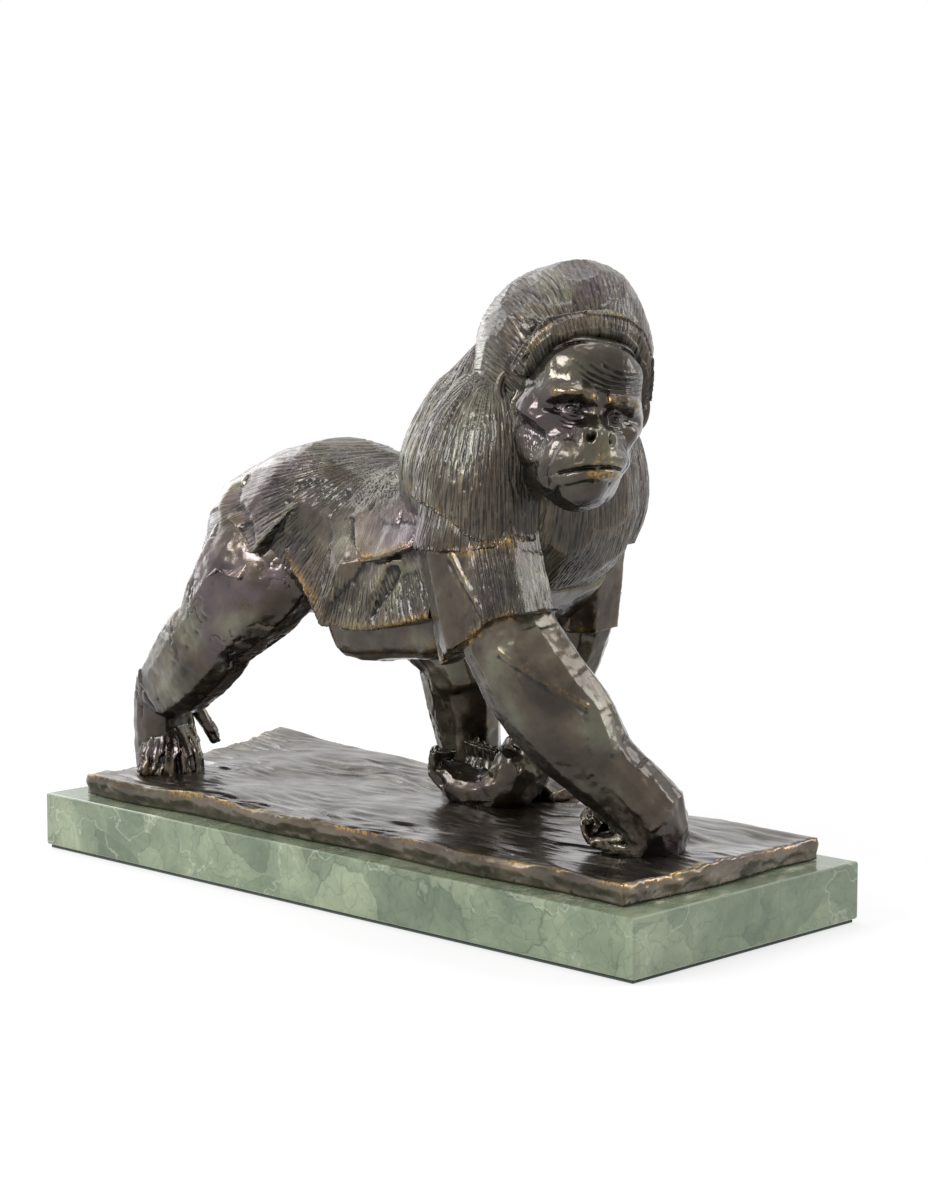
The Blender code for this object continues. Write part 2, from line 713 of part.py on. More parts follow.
def main():
    clear_scene()
    home = collection_named("gorilla_figurine")
    cutters = collection_named("cutters")
    bronze = principled("patinated_bronze", (0.045, 0.036, 0.028), 0.38, 0.9)
    marble = principled("green_marble", (0.22, 0.34, 0.23), 0.25, 0.0)
    felt = principled("dark_felt", (0.02, 0.03, 0.02), 0.95, 0.0)
    steel = principled("zinc_plated_steel", (0.5, 0.5, 0.5), 0.35, 1.0)
    build_casting(home, cutters, bronze)
    build_plinth(home, cutters, marble)
    build_felt(home, felt)
    build_fasteners(home, cutters, steel)


main()
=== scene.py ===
"""The bronze gorilla's dressing: the casting worked like wax with combed hair and knife-cut planes,
on its uneven ground plate, a green marble plinth and a felt pad.

Lengths are in millimetres and become metres where a mesh is made.
"""

import math

import bmesh
import bpy
import numpy as np
from mathutils import Matrix, Vector


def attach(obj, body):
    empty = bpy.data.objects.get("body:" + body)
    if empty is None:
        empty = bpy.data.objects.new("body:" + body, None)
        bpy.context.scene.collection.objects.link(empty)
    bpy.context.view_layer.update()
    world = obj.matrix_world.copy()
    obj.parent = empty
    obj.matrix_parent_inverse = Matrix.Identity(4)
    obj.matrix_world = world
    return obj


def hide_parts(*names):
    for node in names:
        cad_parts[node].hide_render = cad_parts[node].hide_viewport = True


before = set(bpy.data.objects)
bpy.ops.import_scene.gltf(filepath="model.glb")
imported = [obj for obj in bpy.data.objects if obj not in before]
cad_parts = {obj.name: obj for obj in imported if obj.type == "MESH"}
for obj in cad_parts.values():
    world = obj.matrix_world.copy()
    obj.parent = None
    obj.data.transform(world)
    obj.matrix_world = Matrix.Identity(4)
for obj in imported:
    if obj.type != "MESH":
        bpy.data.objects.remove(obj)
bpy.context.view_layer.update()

MM = 0.001
# How far each piece of wax is raised from its stations: here a little down
LIFT = -0.1
COARSER = 1.0
# What the way that wax faces counts for beside its place, when it is shared out among the knife cuts
TURNING = 2.2
# How many points are worked out at once
BATCH = 20000
GROUND = 34.9
PLATE_BOTTOM = 25.3
PLATE_LENGTH = 322.0
PLATE_WIDTH = 118.0
PLATE_OFFSET = (0.5, 1.5)
# The most triangles of each piece: fine where the eye rests, fewer on plain or half hidden wax
MOST_TRIANGLES = {
    "gorilla_face": 145000,
    "gorilla_ears": 15000,
    "gorilla_hood": 130000,
    "gorilla_mantle": 92000,
    "gorilla_right_cape": 75000,
    "gorilla_lower_cape": 48000,
    "gorilla_left_cape": 50000,
    "gorilla_trunk": 140000,
    "gorilla_belly": 14000,
    "gorilla_right_arm": 55000,
    "gorilla_left_arm": 36000,
    "gorilla_right_leg": 62000,
    "gorilla_left_leg": 34000,
    "gorilla_right_sleeve": 26000,
    "gorilla_left_sleeve": 10000,
    "gorilla_ground": 60000,
}

# The trunk, as sections along X: x, top, bottom, half width, height of the widest line
TRUNK = [
    (-113, 156, 138, 8, 147),
    (-109, 164, 127, 18, 147),
    (-102, 172, 118, 28, 145),
    (-90, 177, 108, 34, 142),
    (-72, 184, 110, 37, 148),
    (-52, 188, 113, 37, 150),
    (-32, 184, 113, 37, 142),
    (-14, 179, 112, 39, 136),
    (6, 184, 114, 40, 136),
    (30, 190, 118, 41, 142),
    (52, 202, 123, 41, 155),
    (76, 204, 130, 38, 168),
    (93, 194, 144, 28, 172),
    (99, 184, 158, 14, 172),
]
BELLY = [
    (-44, 150, 118, 24, 136),
    (-28, 150, 96, 27, 116),
    (5, 150, 98.5, 29, 118),
    (32, 150, 102, 30, 120),
    (60, 155, 115, 28, 130),
    (80, 165, 132, 22, 146),
]
HAUNCHES = [
    ((-87, -18, 147), (23, 20, 26)),
    ((-84, 17, 147), (25, 20, 27)),
]

# Limbs, as stations along each: x, y, z, half width across, half depth
RIGHT_THIGH = [
    (-58, -12, 156, 17, 32),
    (-70, -20, 142, 19, 32),
    (-80, -27, 126, 19, 29.5),
    (-93, -30, 111, 17, 24),
    (-102, -31, 101, 15, 20),
]
RIGHT_CALF = [
    (-97, -31, 104, 14, 21),
    (-106, -31, 97, 15, 22),
    (-117, -30, 88, 14.5, 21),
    (-128, -28, 80, 13.5, 19),
    (-140, -26, 72, 12.5, 15.5),
]
RIGHT_FOOT = [
    (-144, -25, 76, 11, 13),
    (-147, -24, 64, 11.5, 12.5),
    (-148, -22, 52, 13.5, 12),
    (-147, -21, 42, 15, 12),
    (-146, -20, 33, 15.5, 12),
]
LEFT_THIGH = [
    (-66, 16, 150, 19, 26),
    (-49, 23, 132, 18, 27),
    (-29, 27, 112, 17, 23),
    (-13, 30, 96, 16, 18),
    (-9, 32, 82, 14, 18),
]
LEFT_CALF = [
    (-12, 31, 90, 14, 19),
    (-13, 35, 72, 13, 18),
    (-14, 39, 56, 12, 15),
    (-15, 42, 44, 12, 14),
    (-14, 43, 33, 12, 14),
]
LEFT_FOOT = [
    (-24, 43, 42, 10.5, 9),
    (-10, 44, 43, 11.5, 11),
    (6, 46, 41, 12, 9),
    (22, 46.5, 38.5, 12.5, 6),
    (32, 47, 37.5, 12, 5),
]
RIGHT_SLEEVE = [
    (65, -36, 165, 18, 26),
    (67, -38, 152, 19, 27),
    (74, -41, 136, 19, 27),
    (81, -43, 118, 18, 27),
    (85, -43, 106, 17, 26),
]
# The flat back of the sleeve, and the line of its free edge: x and height
SLEEVE_PLANE = [(35, -41, 150), (68, -57, 154), (91, -61, 127), (86, -59, 112), (53, -47, 104)]
SLEEVE_EDGE = [
    (30, 100), (51, 104), (55, 104.5), (62, 109), (74, 115), (85, 121), (92, 127), (97, 129),
    (104, 130), (115, 131),
]
RIGHT_FOREARM = [
    (79, -40, 137, 17, 20),
    (86, -41, 119, 17, 20),
    (98, -38, 100, 17, 21.5),
    (107, -32, 86, 16, 22),
    (114, -27, 75, 14.5, 19),
    (121, -22, 66, 13.5, 15.5),
    (130, -16, 57, 13.5, 14.5),
    (136, -11, 49, 14, 14),
]
LEFT_SLEEVE = [
    (60, 27, 172, 19, 22),
    (60, 30, 152, 17, 19),
    (57, 33, 132, 16, 17.5),
    (54.5, 35, 114, 15.5, 16.5),
]
LEFT_FOREARM = [
    (58, 36, 130, 13, 15),
    (52, 36, 110, 12.5, 14),
    (46, 34, 92, 12, 13),
    (39, 31, 74, 10.5, 11.5),
    (35, 28, 60, 10.5, 11),
    (31, 24, 48, 12, 12),
]
MANTLE = [
    (64, -9, 224, 20, 22),
    (58, -5, 212, 28, 30),
    (54, -3, 202, 36, 38),
    (52, -2, 190, 42, 44),
    (52, -2, 177, 44, 46),
    (56, -2, 166, 40, 42),
]
RIGHT_CAPE = [
    (63, -14, 208, 22, 25),
    (63.5, -24, 194, 25, 29.5),
    (63, -31, 178, 25, 29.5),
    (64, -36, 163, 22.5, 28),
    (65.5, -38, 152, 20.5, 27),
    (65.5, -38, 143, 20, 26.5),
]
# The layer under it, which stands back below the upper edge and reaches out again at its own
RIGHT_UNDER_CAPE = [
    (63, -14, 208, 20, 23),
    (63.5, -24, 194, 22, 26.5),
    (63, -31, 178, 21.5, 27),
    (64, -35.5, 163, 19.8, 26.5),
    (65.5, -38, 152, 20.5, 27.5),
    (65.5, -38, 143, 20, 27),
]
# Free edges of the two layers of the cape: x and height
UPPER_CAPE_EDGE = [
    (20, 175), (32, 173), (48, 171), (57, 169), (63, 167), (68, 165), (74, 161), (81, 156.5), (88, 156),
    (96, 158), (110, 159),
]
LOWER_CAPE_EDGE = [(20, 150), (41, 151), (62, 151.5), (78, 152), (86, 154.5), (96, 157), (110, 158)]
LEFT_CAPE = [
    (64, 15, 200, 20, 24),
    (64, 22, 186, 24, 27),
    (64, 25, 170, 25, 28),
    (61, 25, 155, 23, 25.5),
    (60, 25, 147, 22, 24.5),
    (60, 25, 140, 21.5, 24),
]
LEFT_CAPE_EDGE = [(20, 150), (45, 149), (70, 148), (90, 150)]

# The head: middle between the eyes, and the way the face is turned, in degrees
EYES = (118.5, -28.0, 206.7)
FACE_TURN = -30.0
FACE_NOD = -4.5
FACE_TILT = -10.5
HOOD = [
    (-48, 0, -14, 26, 24),
    (-50, 0, -6, 32, 31),
    (-50.5, 1, 6, 34, 33),
    (-48.5, 2.5, 19, 35, 35.5),
    (-45, 3.8, 29, 34, 36),
    (-43, 5.2, 39, 29.2, 31),
    (-40, 5.2, 46.4, 22.6, 24),
    (-38, 4.4, 51.4, 14.5, 16),
]

# Flat plates of hair on haunch, knee, flank and ribs, as the corners of their outer faces
PLATES_OF_HAIR = [
    [
        (-98, -26, 160), (-84, -38, 155), (-73, -42, 148), (-62, -45, 141), (-50, -42, 152),
        (-38, -33, 167), (-50, -25, 176), (-80, -24, 174),
    ],
    [
        (-103, -24, 158), (-106, -36, 134), (-104, -42, 122), (-93, -47, 125), (-84, -48, 131),
        (-69, -46, 127), (-64, -38, 142), (-66, -30, 158),
    ],
    [(-40, -27, 170), (-47, -39, 140), (-19, -45.5, 112.5), (-8, -44, 141), (-6, -29, 170)],
    [
        (-6, -29, 170), (-8, -44, 141), (-19, -45.5, 112.5), (10, -47.5, 113.5), (20, -44, 141),
        (20, -29, 170),
    ],
    [(20, -29, 170), (20, -44, 141), (10, -47.5, 113.5), (47, -47, 122), (50, -40, 152), (44, -28, 170)],
    [
        (-9, -38, 159), (-2, -43, 151), (6, -47.5, 142.5), (19, -47.5, 143.5), (34, -47, 150),
        (40, -30, 172), (8, -28, 172),
    ],
    [
        (10, -14, 188), (12, -28, 177), (28, -40, 172), (44, -49, 167), (60, -54, 164), (62, -34, 193),
        (44, -26, 201), (26, -20, 197),
    ],
]
HAIR_THICKNESS = (3, 16, 0)

# The free lower edge of the hair on the flank
FLANK_FRINGE = [
    (-47, -38, 139), (-30, -41, 127), (-13, -42, 115), (5, -44, 114), (21, -44, 117), (45, -45, 122),
]


# Numbers that look random and are the same each time

def scramble(*whole, seed=0):
    """A number from 0 to 1 for each set of whole numbers."""
    mixed = np.full(np.shape(whole[0]), seed * 374761393 + 668265263, np.uint64)
    for i, part in enumerate(whole):
        mixed ^= (np.asarray(part, np.int64) * (73856093, 19349663, 83492791)[i]).astype(np.uint64)
        mixed = (mixed ^ (mixed >> np.uint64(13))) * np.uint64(1274126177)
        mixed &= np.uint64(0xFFFFFFFF)
    return (mixed ^ (mixed >> np.uint64(16))).astype(float) / 0xFFFFFFFF


def ripple(points, seed=0):
    """Smooth noise from -1 to 1 at points of two or three numbers."""
    floor = np.floor(points).astype(np.int64)
    part = points - floor
    part = part * part * (3 - 2 * part)
    total = np.zeros(len(points))
    for corner in np.ndindex(*(2,) * points.shape[1]):
        weight = np.ones(len(points))
        for i, step in enumerate(corner):
            weight = weight * (part[:, i] if step else 1 - part[:, i])
        total += weight * scramble(*(floor[:, i] + corner[i] for i in range(points.shape[1])), seed=seed)
    return 2 * total - 1


def rough(points, octaves=3, seed=0):
    return sum(ripple(points * 2**i, seed + i) / 2**i for i in range(octaves))


def ease(value, low, high):
    share = np.clip((value - low) / (high - low), 0, 1)
    return share * share * (3 - 2 * share)


# Building masses of wax

def loft_into(bm, rings):
    """A closed skin through rings of equal length, capped at both ends."""
    rows = [[bm.verts.new(Vector(p) * MM) for p in ring] for ring in rings]
    count = len(rings[0])
    faces = []
    for lower, upper in zip(rows, rows[1:]):
        for i in range(count):
            j = (i + 1) % count
            faces.append(bm.faces.new((lower[i], lower[j], upper[j], upper[i])))
    faces.append(bm.faces.new(rows[0][::-1]))
    faces.append(bm.faces.new(rows[-1]))
    bmesh.ops.recalc_face_normals(bm, faces=faces)


def unit_outline(count, power):
    """A rounded outline about the origin: power 1 is a circle, and less is boxier."""
    outline = []
    for i in range(count):
        turn = 2 * math.pi * (i + 0.5) / count
        c, s = math.cos(turn), math.sin(turn)
        outline.append((math.copysign(abs(c) ** power, c), math.copysign(abs(s) ** power, s)))
    return outline


def eased_stations(stations, steps=4):
    """More stations between those given, on a smooth curve through them."""
    given = np.array(stations, float)
    padded = np.vstack([2 * given[0] - given[1], given, 2 * given[-1] - given[-2]])
    made = []
    for i in range(1, len(padded) - 2):
        a, b, c, d = padded[i - 1:i + 3]
        for t in np.arange(steps) / steps:
            bend = (2 * a - 5 * b + 4 * c - d) * t**2 + (3 * b - a - 3 * c + d) * t**3
            made.append(0.5 * (2 * b + (c - a) * t + bend))
    made.append(given[-1])
    return [tuple(row) for row in made]


def limb_into(bm, stations, across=(0, 1, 0), count=10, power=0.85, ends=0.45):
    """A limb through its stations, with each section square to the path and its ends drawn in."""
    middles = [Vector(s[:3]) for s in stations]
    outline = unit_outline(count, power)
    rings = []
    for i, station in enumerate(stations):
        ahead = middles[min(i + 1, len(middles) - 1)] - middles[max(i - 1, 0)]
        ahead.normalize()
        side = Vector(across) - ahead * ahead.dot(Vector(across))
        side.normalize()
        deep = ahead.cross(side)
        ring = [middles[i] + side * (a * station[3]) + deep * (d * station[4]) for a, d in outline]
        if i == 0 and ends:
            rings.append([middles[0].lerp(p, 0.6) - ahead * (ends * station[3]) for p in ring])
        rings.append(ring)
        if i == len(stations) - 1 and ends:
            rings.append([middles[-1].lerp(p, 0.6) + ahead * (ends * station[3]) for p in ring])
    loft_into(bm, rings)


def trunk_into(bm, sections, count=28, power=0.8):
    """A mass along X whose sections have their own top, bottom, half width and widest line."""
    rings = []
    for x, top, bottom, half, widest in eased_stations(sections, 3):
        ring = []
        for a, b in unit_outline(count, power):
            reach = top - widest if b > 0 else widest - bottom
            ring.append((x, a * half, widest + b * reach))
        rings.append(ring)
    loft_into(bm, rings)


def ball_into(bm, middle, radii, turn=None):
    turn = turn or Matrix.Identity(3)
    made = bmesh.ops.create_icosphere(bm, subdivisions=4, radius=1.0)
    for vert in made["verts"]:
        stretched = Vector(vert.co[i] * radii[i] for i in range(3))
        vert.co = (Vector(middle) + turn @ stretched) * MM


def slab_into(bm, corners, inward):
    """A flat plate of hair: its outer corners, and the way in to its hidden side."""
    outer = [Vector(c) for c in corners]
    middle = sum(outer, Vector()) / len(outer)
    front = [bm.verts.new(c * MM) for c in outer]
    back = [bm.verts.new((c + Vector(inward)) * MM) for c in outer]
    hubs = bm.verts.new(middle * MM), bm.verts.new((middle + Vector(inward)) * MM)
    faces = []
    for i in range(len(outer)):
        j = (i + 1) % len(outer)
        faces.append(bm.faces.new((hubs[0], front[i], front[j])))
        faces.append(bm.faces.new((hubs[1], back[j], back[i])))
        faces.append(bm.faces.new((front[i], back[i], back[j], front[j])))
    bmesh.ops.recalc_face_normals(bm, faces=faces)


HEAD = Matrix.Rotation(math.radians(FACE_TURN), 3, "Z")
NOD = Matrix.Rotation(math.radians(FACE_NOD), 3, "Y")
FACE = HEAD @ NOD @ Matrix.Rotation(math.radians(FACE_TILT), 3, "X")


def on_face(point, turned=FACE):
    return Vector(EYES) + turned @ Vector(point)


def faced(*points):
    return [tuple(on_face(p)) for p in points]


# Where hands have rubbed the patina off: a line, how far from it in millimetres, and how much
RUBBED = [
    (faced((-1, -17, 5.4), (4, -11.7, 6), (6.5, -4.6, 4.8)), 1.7, 1.0),
    (faced((6.5, 4, 4.8), (5, 9.8, 6), (0, 17, 5.2)), 1.7, 1.0),
    (faced((13, 0.4, -14), (13.6, 2, -18)), 3.0, 0.5),
    (faced((14, -1, -19.6), (9.6, 8, -18.6)), 1.5, 0.9),
    (faced((14, -1.6, -24.4), (12, 4, -23.6), (8, 9, -22.8)), 2.0, 1.0),
    (faced((-14, -27, 20), (-8, -19, 34), (-5, -2, 41), (-8, 14, 38)), 1.5, 0.45),
    ([(32, -42, 173), (48, -54, 171), (63, -58, 167), (73, -58, 162)], 2.0, 0.5),
    ([(41, -48, 151), (62, -56, 152), (78, -57, 152), (92, -48, 157), (95, -38, 157)], 1.8, 0.8),
    ([(55, -49, 106), (74, -56, 115), (89, -60, 123), (96, -57, 129), (104, -39, 130)], 1.8, 0.9),
    ([(69, -57, 150), (76, -58, 143), (85, -59, 134)], 1.2, 0.4),
    (FLANK_FRINGE, 2.6, 0.8),
    ([(6, -46, 143), (18, -47, 147), (33, -46, 151)], 1.5, 0.5),
    ([(-84, -39, 155), (-62, -46, 140), (-36, -39, 164)], 1.4, 0.45),
    ([(-92, -48, 124), (-68, -48, 127)], 1.4, 0.4),
    ([(95, -56, 115), (107, -52, 108), (117, -46, 101), (124, -39, 95)], 1.3, 0.6),
    ([(45, 49, 149), (70, 50, 148), (86, 40, 150)], 1.6, 0.6),
    ([(70, 50, 114), (65, 24, 113)], 1.5, 0.5),
]


# Working the wax

def distance_to_path(points, path):
    """Each point's distance to a path, and how far along it that is."""
    path = np.asarray(path, float)
    best = np.full(len(points), 1e9)
    where = np.zeros(len(points))
    run = 0.0
    for a, b in zip(path, path[1:]):
        step = b - a
        length = np.linalg.norm(step)
        share = np.clip((points - a) @ step / length**2, 0, 1)
        away = np.linalg.norm(points - a - share[:, None] * step, axis=1)
        nearer = away < best
        best = np.where(nearer, away, best)
        where = np.where(nearer, run + share * length, where)
        run += length
    return best, where


def nearest_cut(rows, middles):
    """The number of the knife cut whose middle each row is nearest to."""
    found = np.empty(len(rows), np.int64)
    for start in range(0, len(rows), BATCH):
        part = rows[start:start + BATCH]
        away = (middles**2).sum(1)[None] - 2 * part @ middles.T
        found[start:start + BATCH] = np.argmin(away, axis=1)
    return found


def means(owner, values, count):
    """The mean of the values that each of the owners holds."""
    total = np.maximum(np.bincount(owner, minlength=count), 1)
    return np.stack([np.bincount(owner, column, count) / total for column in values.T], 1)


class Wax:
    """One piece of the casting, held as points in millimetres that are pushed and cut."""

    cuts = None

    def __init__(self, name, fill, voxel, soften):
        mesh = bpy.data.meshes.new(name)
        bm = bmesh.new()
        fill(bm)
        bm.to_mesh(mesh)
        bm.free()
        self.obj = bpy.data.objects.new(name, mesh)
        bpy.context.scene.collection.objects.link(self.obj)
        self.fuse(voxel, soften)
        self.p[:, 2] += LIFT
        self.write()

    def apply(self):
        bpy.context.view_layer.update()
        graph = bpy.context.evaluated_depsgraph_get()
        mesh = bpy.data.meshes.new_from_object(self.obj.evaluated_get(graph))
        self.obj.modifiers.clear()
        self.obj.data = mesh
        self.read()

    def read(self):
        mesh = self.obj.data
        self.count = len(mesh.vertices)
        co = np.empty(self.count * 3, np.float32)
        mesh.vertices.foreach_get("co", co)
        self.p = co.reshape(-1, 3).astype(float) / MM
        ends = np.empty(len(mesh.edges) * 2, np.int32)
        mesh.edges.foreach_get("vertices", ends)
        self.edges = ends.reshape(-1, 2)
        self.degree = np.maximum(np.bincount(self.edges.ravel(), minlength=self.count), 1)
        self.look()

    def look(self):
        """The direction that each point faces, from the mesh as it stands."""
        normals = np.empty(self.count * 3, np.float32)
        self.obj.data.vertices.foreach_get("normal", normals)
        self.n = normals.reshape(-1, 3).astype(float)

    def write(self):
        self.obj.data.vertices.foreach_set("co", (self.p * MM).astype(np.float32).ravel())
        self.obj.data.update()
        self.look()

    def fuse(self, voxel, soften):
        """Makes the wax one even skin, and softens it."""
        fuse = self.obj.modifiers.new("fuse", "REMESH")
        fuse.mode = "VOXEL"
        fuse.voxel_size = voxel * MM * COARSER
        smooth = self.obj.modifiers.new("soften", "SMOOTH")
        smooth.factor = 0.5
        smooth.iterations = soften
        self.apply()

    def blur(self, values, rounds):
        """Values drawn towards those of their neighbours."""
        if values.ndim > 1:
            return np.stack([self.blur(column, rounds) for column in values.T], 1)
        a, b = self.edges.T
        for _ in range(rounds):
            near = np.bincount(a, values[b], self.count) + np.bincount(b, values[a], self.count)
            values = 0.4 * values + 0.6 * near / self.degree
        return values

    def push(self, height):
        self.p += height[:, None] * self.n
        self.write()

    def facing(self):
        """The way each point faces, evened out over its surroundings."""
        facing = self.blur(self.n, 6)
        return facing / np.maximum(np.linalg.norm(facing, axis=1), 1e-6)[:, None]

    def places_and_ways(self, size):
        """Each point's place, measured in knife cuts, beside the way it faces."""
        return np.hstack([self.p / size, self.facing() * TURNING]).astype(np.float32)

    def relax(self, spot, reach, rounds):
        """Evens out the wax around one spot."""
        mask = 1 - ease(np.linalg.norm(self.p - spot, axis=1), 0.6 * reach, reach)
        self.p += mask[:, None] * (self.blur(self.p, rounds) - self.p)
        self.write()

    def crackle(self, size, depth, seed):
        """Patches of fine cracks and pores."""
        line = np.exp(-((rough(self.p / size, 3, seed) / 0.07) ** 2))
        patches = ease(ripple(self.p / (2.2 * size), seed + 9), -0.1, 0.4)
        pores = ease(ripple(self.p / 1.6, seed + 11), 0.55, 0.85)
        self.push(-(depth * line + 0.35 * depth * pores) * patches)

    def cut_planes(self, size, share, seed, soften=2):
        """Flat knife cuts about this size apart, pressed this far towards truly flat."""
        rng = np.random.default_rng(seed)
        facing = self.facing()
        feature = self.places_and_ways(size)
        spread = self.p.max(0) - self.p.min(0)
        area = 2 * (spread[0] * spread[1] + spread[1] * spread[2] + spread[0] * spread[2])
        count = int(max(12, 0.8 * area / size**2))
        middles = feature[rng.choice(self.count, count, replace=False)]
        sample = feature[rng.choice(self.count, min(self.count, BATCH), replace=False)]
        for _ in range(5):
            middles = means(nearest_cut(sample, middles), sample, count).astype(np.float32)
        owner = nearest_cut(feature, middles)
        self.cuts = size, middles
        centre = means(owner, self.p, count)
        normal = means(owner, facing, count)
        normal /= np.maximum(np.linalg.norm(normal, axis=1), 1e-6)[:, None]
        off = ((self.p - centre[owner]) * normal[owner]).sum(1)
        move = -share * np.clip(off, -2.5, 2.5)[:, None] * normal[owner]
        self.p += self.blur(move, soften)
        self.write()

    def comb(self, across, along, spacing, depth, strength, length, seed):
        """Grooves of combed hair side by side, each fading out at its ends."""
        lane = across / spacing + 0.45 * ripple(self.p / 9, seed + 5)
        which = np.floor(lane)
        t = lane - which
        run = along / length + 7.3 * scramble(which, seed=seed)
        stretch = np.floor(run)
        v = run - stretch
        force = 0.35 + 0.65 * scramble(which, stretch, seed=seed + 1)
        force = force * ease(np.minimum(v, 1 - v), 0, 0.14)
        groove = np.exp(-(((t - 0.5) / 0.19) ** 2))
        self.push(-depth * force * groove * strength)

    def ridge(self, path, width, height):
        """A raised edge along a line in space, with a hollow just under it."""
        away, _ = distance_to_path(self.p, path)
        under, _ = distance_to_path(self.p + (0, 0, 1.7 * width), path)
        self.push(height * (np.exp(-((away / width) ** 2)) - 0.8 * np.exp(-((under / width) ** 2))))

    def trim(self, edge, across, teeth, spacing, seed):
        """Cuts a piece off along a free edge, given as x and height, with a comb's teeth in it."""
        xs, heights = zip(*edge)
        cut = np.interp(self.p[:, 0], xs, heights)
        row = np.stack([across / spacing, np.zeros(self.count)], 1)
        cut += teeth * (ripple(row, seed) + 0.7 * ripple(row / 3.3, seed + 1))
        self.p[:, 2] = np.where(self.p[:, 2] < cut, cut - 0.02 * (cut - self.p[:, 2]), self.p[:, 2])
        self.write()

    def thin(self):
        """Fewer triangles where the surface is plain."""
        self.obj.data.calc_loop_triangles()
        triangles = len(self.obj.data.loop_triangles)
        most = MOST_TRIANGLES[self.obj.name]
        if triangles > 1.01 * most:
            modifier = self.obj.modifiers.new("thin", "DECIMATE")
            modifier.ratio = most / triangles
            self.apply()

    def note(self, name, values):
        kind, field = ("FLOAT_VECTOR", "vector") if values.ndim > 1 else ("FLOAT", "value")
        attribute = self.obj.data.attributes.new(name, kind, "POINT")
        attribute.data.foreach_set(field, values.astype(np.float32).ravel())

    def hills(self, rounds):
        """How far each point stands above its surroundings, in millimetres."""
        return ((self.p - self.blur(self.p, rounds)) * self.n).sum(1)

    def finish(self, comb_of=None, tone=0.0, rubbed=None, dark=0.0):
        """Notes for the bronze: where it is rubbed bright, where it is hollow or faces down (painted
        shade), and how the hair lies.
        """
        self.thin()
        fine = self.hills(3)
        broad = self.hills(40)
        proud = fine + 0.35 * broad
        wear = 0.12 * ease(proud, 0.35, 0.8)
        for line, reach, share in RUBBED:
            near = self.p.min(0) - 3 * reach < np.max(line, 0)
            if (near & (self.p.max(0) + 3 * reach > np.min(line, 0))).all():
                away, _ = distance_to_path(self.p, line)
                gilt = share * np.exp(-((away / reach) ** 2)) * (0.25 + 0.75 * ease(proud, 0.0, 0.3))
                wear = np.maximum(wear, gilt)
        if rubbed is not None:
            wear = np.maximum(wear, rubbed)
        self.note("wear", np.clip(wear, 0, 1))
        # Painted shade: wax that faces down is darkened as if in shadow, on top of the black patina of its
        # hollows
        painted_underside_shade = 0.55 * ease(-self.facing()[:, 2], 0.1, 0.8)
        self.note("hollow", np.maximum(ease(-fine * 2.2 - broad * 0.5, 0.02, 0.7), painted_underside_shade))
        light = np.full(self.count, 0.5)
        if self.cuts:
            size, middles = self.cuts
            cut = nearest_cut(self.places_and_ways(size), middles)
            light = self.blur(scramble(cut, seed=41), 8)
        # Each piece's darkness goes in with the knife cuts' tone: partly its own patina, partly painted
        # shade on pieces in shadow and painted light on lit ones
        self.note("light", light - dark)
        comb = np.zeros((self.count, 3))
        if comb_of is not None:
            comb[:, 0], comb[:, 1], comb[:, 2] = comb_of(self.p)
        self.note("comb", comb)
        self.note("tone", np.zeros(self.count) + tone)
        self.obj.data.shade_smooth()
        self.obj.data.materials.clear()
        self.obj.data.materials.append(BRONZE)
        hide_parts("bronze_gorilla")
        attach(self.obj, "root")


# Materials

def linear(colour):
    """A colour written as #rrggbb, in the linear values that a shader takes."""
    parts = [int(colour[i:i + 2], 16) / 255 for i in (1, 3, 5)]
    return (*(c / 12.92 if c <= 0.04045 else ((c + 0.055) / 1.055) ** 2.4 for c in parts), 1.0)


def node(tree, kind, settings=None, out=0, **links):
    """Adds a node with its settings, values and links, and gives one of its outputs, or all for None."""
    made = tree.nodes.new(kind)
    for key, value in (settings or {}).items():
        if key == "stops":
            elements = made.color_ramp.elements
            while len(elements) < len(value):
                elements.new(0.5)
            for element, (position, colour) in zip(elements, value):
                element.position = position
                element.color = linear(colour) if isinstance(colour, str) else colour
        else:
            setattr(made, key, value)
    for name, value in links.items():
        socket = made.inputs[int(name[1:]) if name[1:].isdigit() else name.replace("_", " ")]
        if isinstance(value, bpy.types.NodeSocket):
            tree.links.new(value, socket)
        else:
            socket.default_value = linear(value) if isinstance(value, str) else value
    return made.outputs if out is None else made.outputs[out]


# Kinds of node and settings that the materials share
NOISE = "ShaderNodeTexNoise"
VORONOI = "ShaderNodeTexVoronoi"
RAMP = "ShaderNodeValToRGB"
LEVEL = "ShaderNodeMapRange"
MATHS = "ShaderNodeMath"
MIX = "ShaderNodeMix"
BUMP = "ShaderNodeBump"
NOTE = "ShaderNodeAttribute"
EASED = {"interpolation_type": "SMOOTHSTEP"}
TIMES = {"operation": "MULTIPLY"}
LESS = {"operation": "SUBTRACT"}
COLOURS = {"data_type": "RGBA"}
TINTED = {"data_type": "RGBA", "blend_type": "MULTIPLY"}
TO_EDGE = {"feature": "DISTANCE_TO_EDGE"}
MIXED = 2


def fresh(name):
    material = bpy.data.materials.new(name)
    material.use_nodes = True
    tree = material.node_tree
    shader = tree.nodes["Principled BSDF"]
    return material, tree, shader


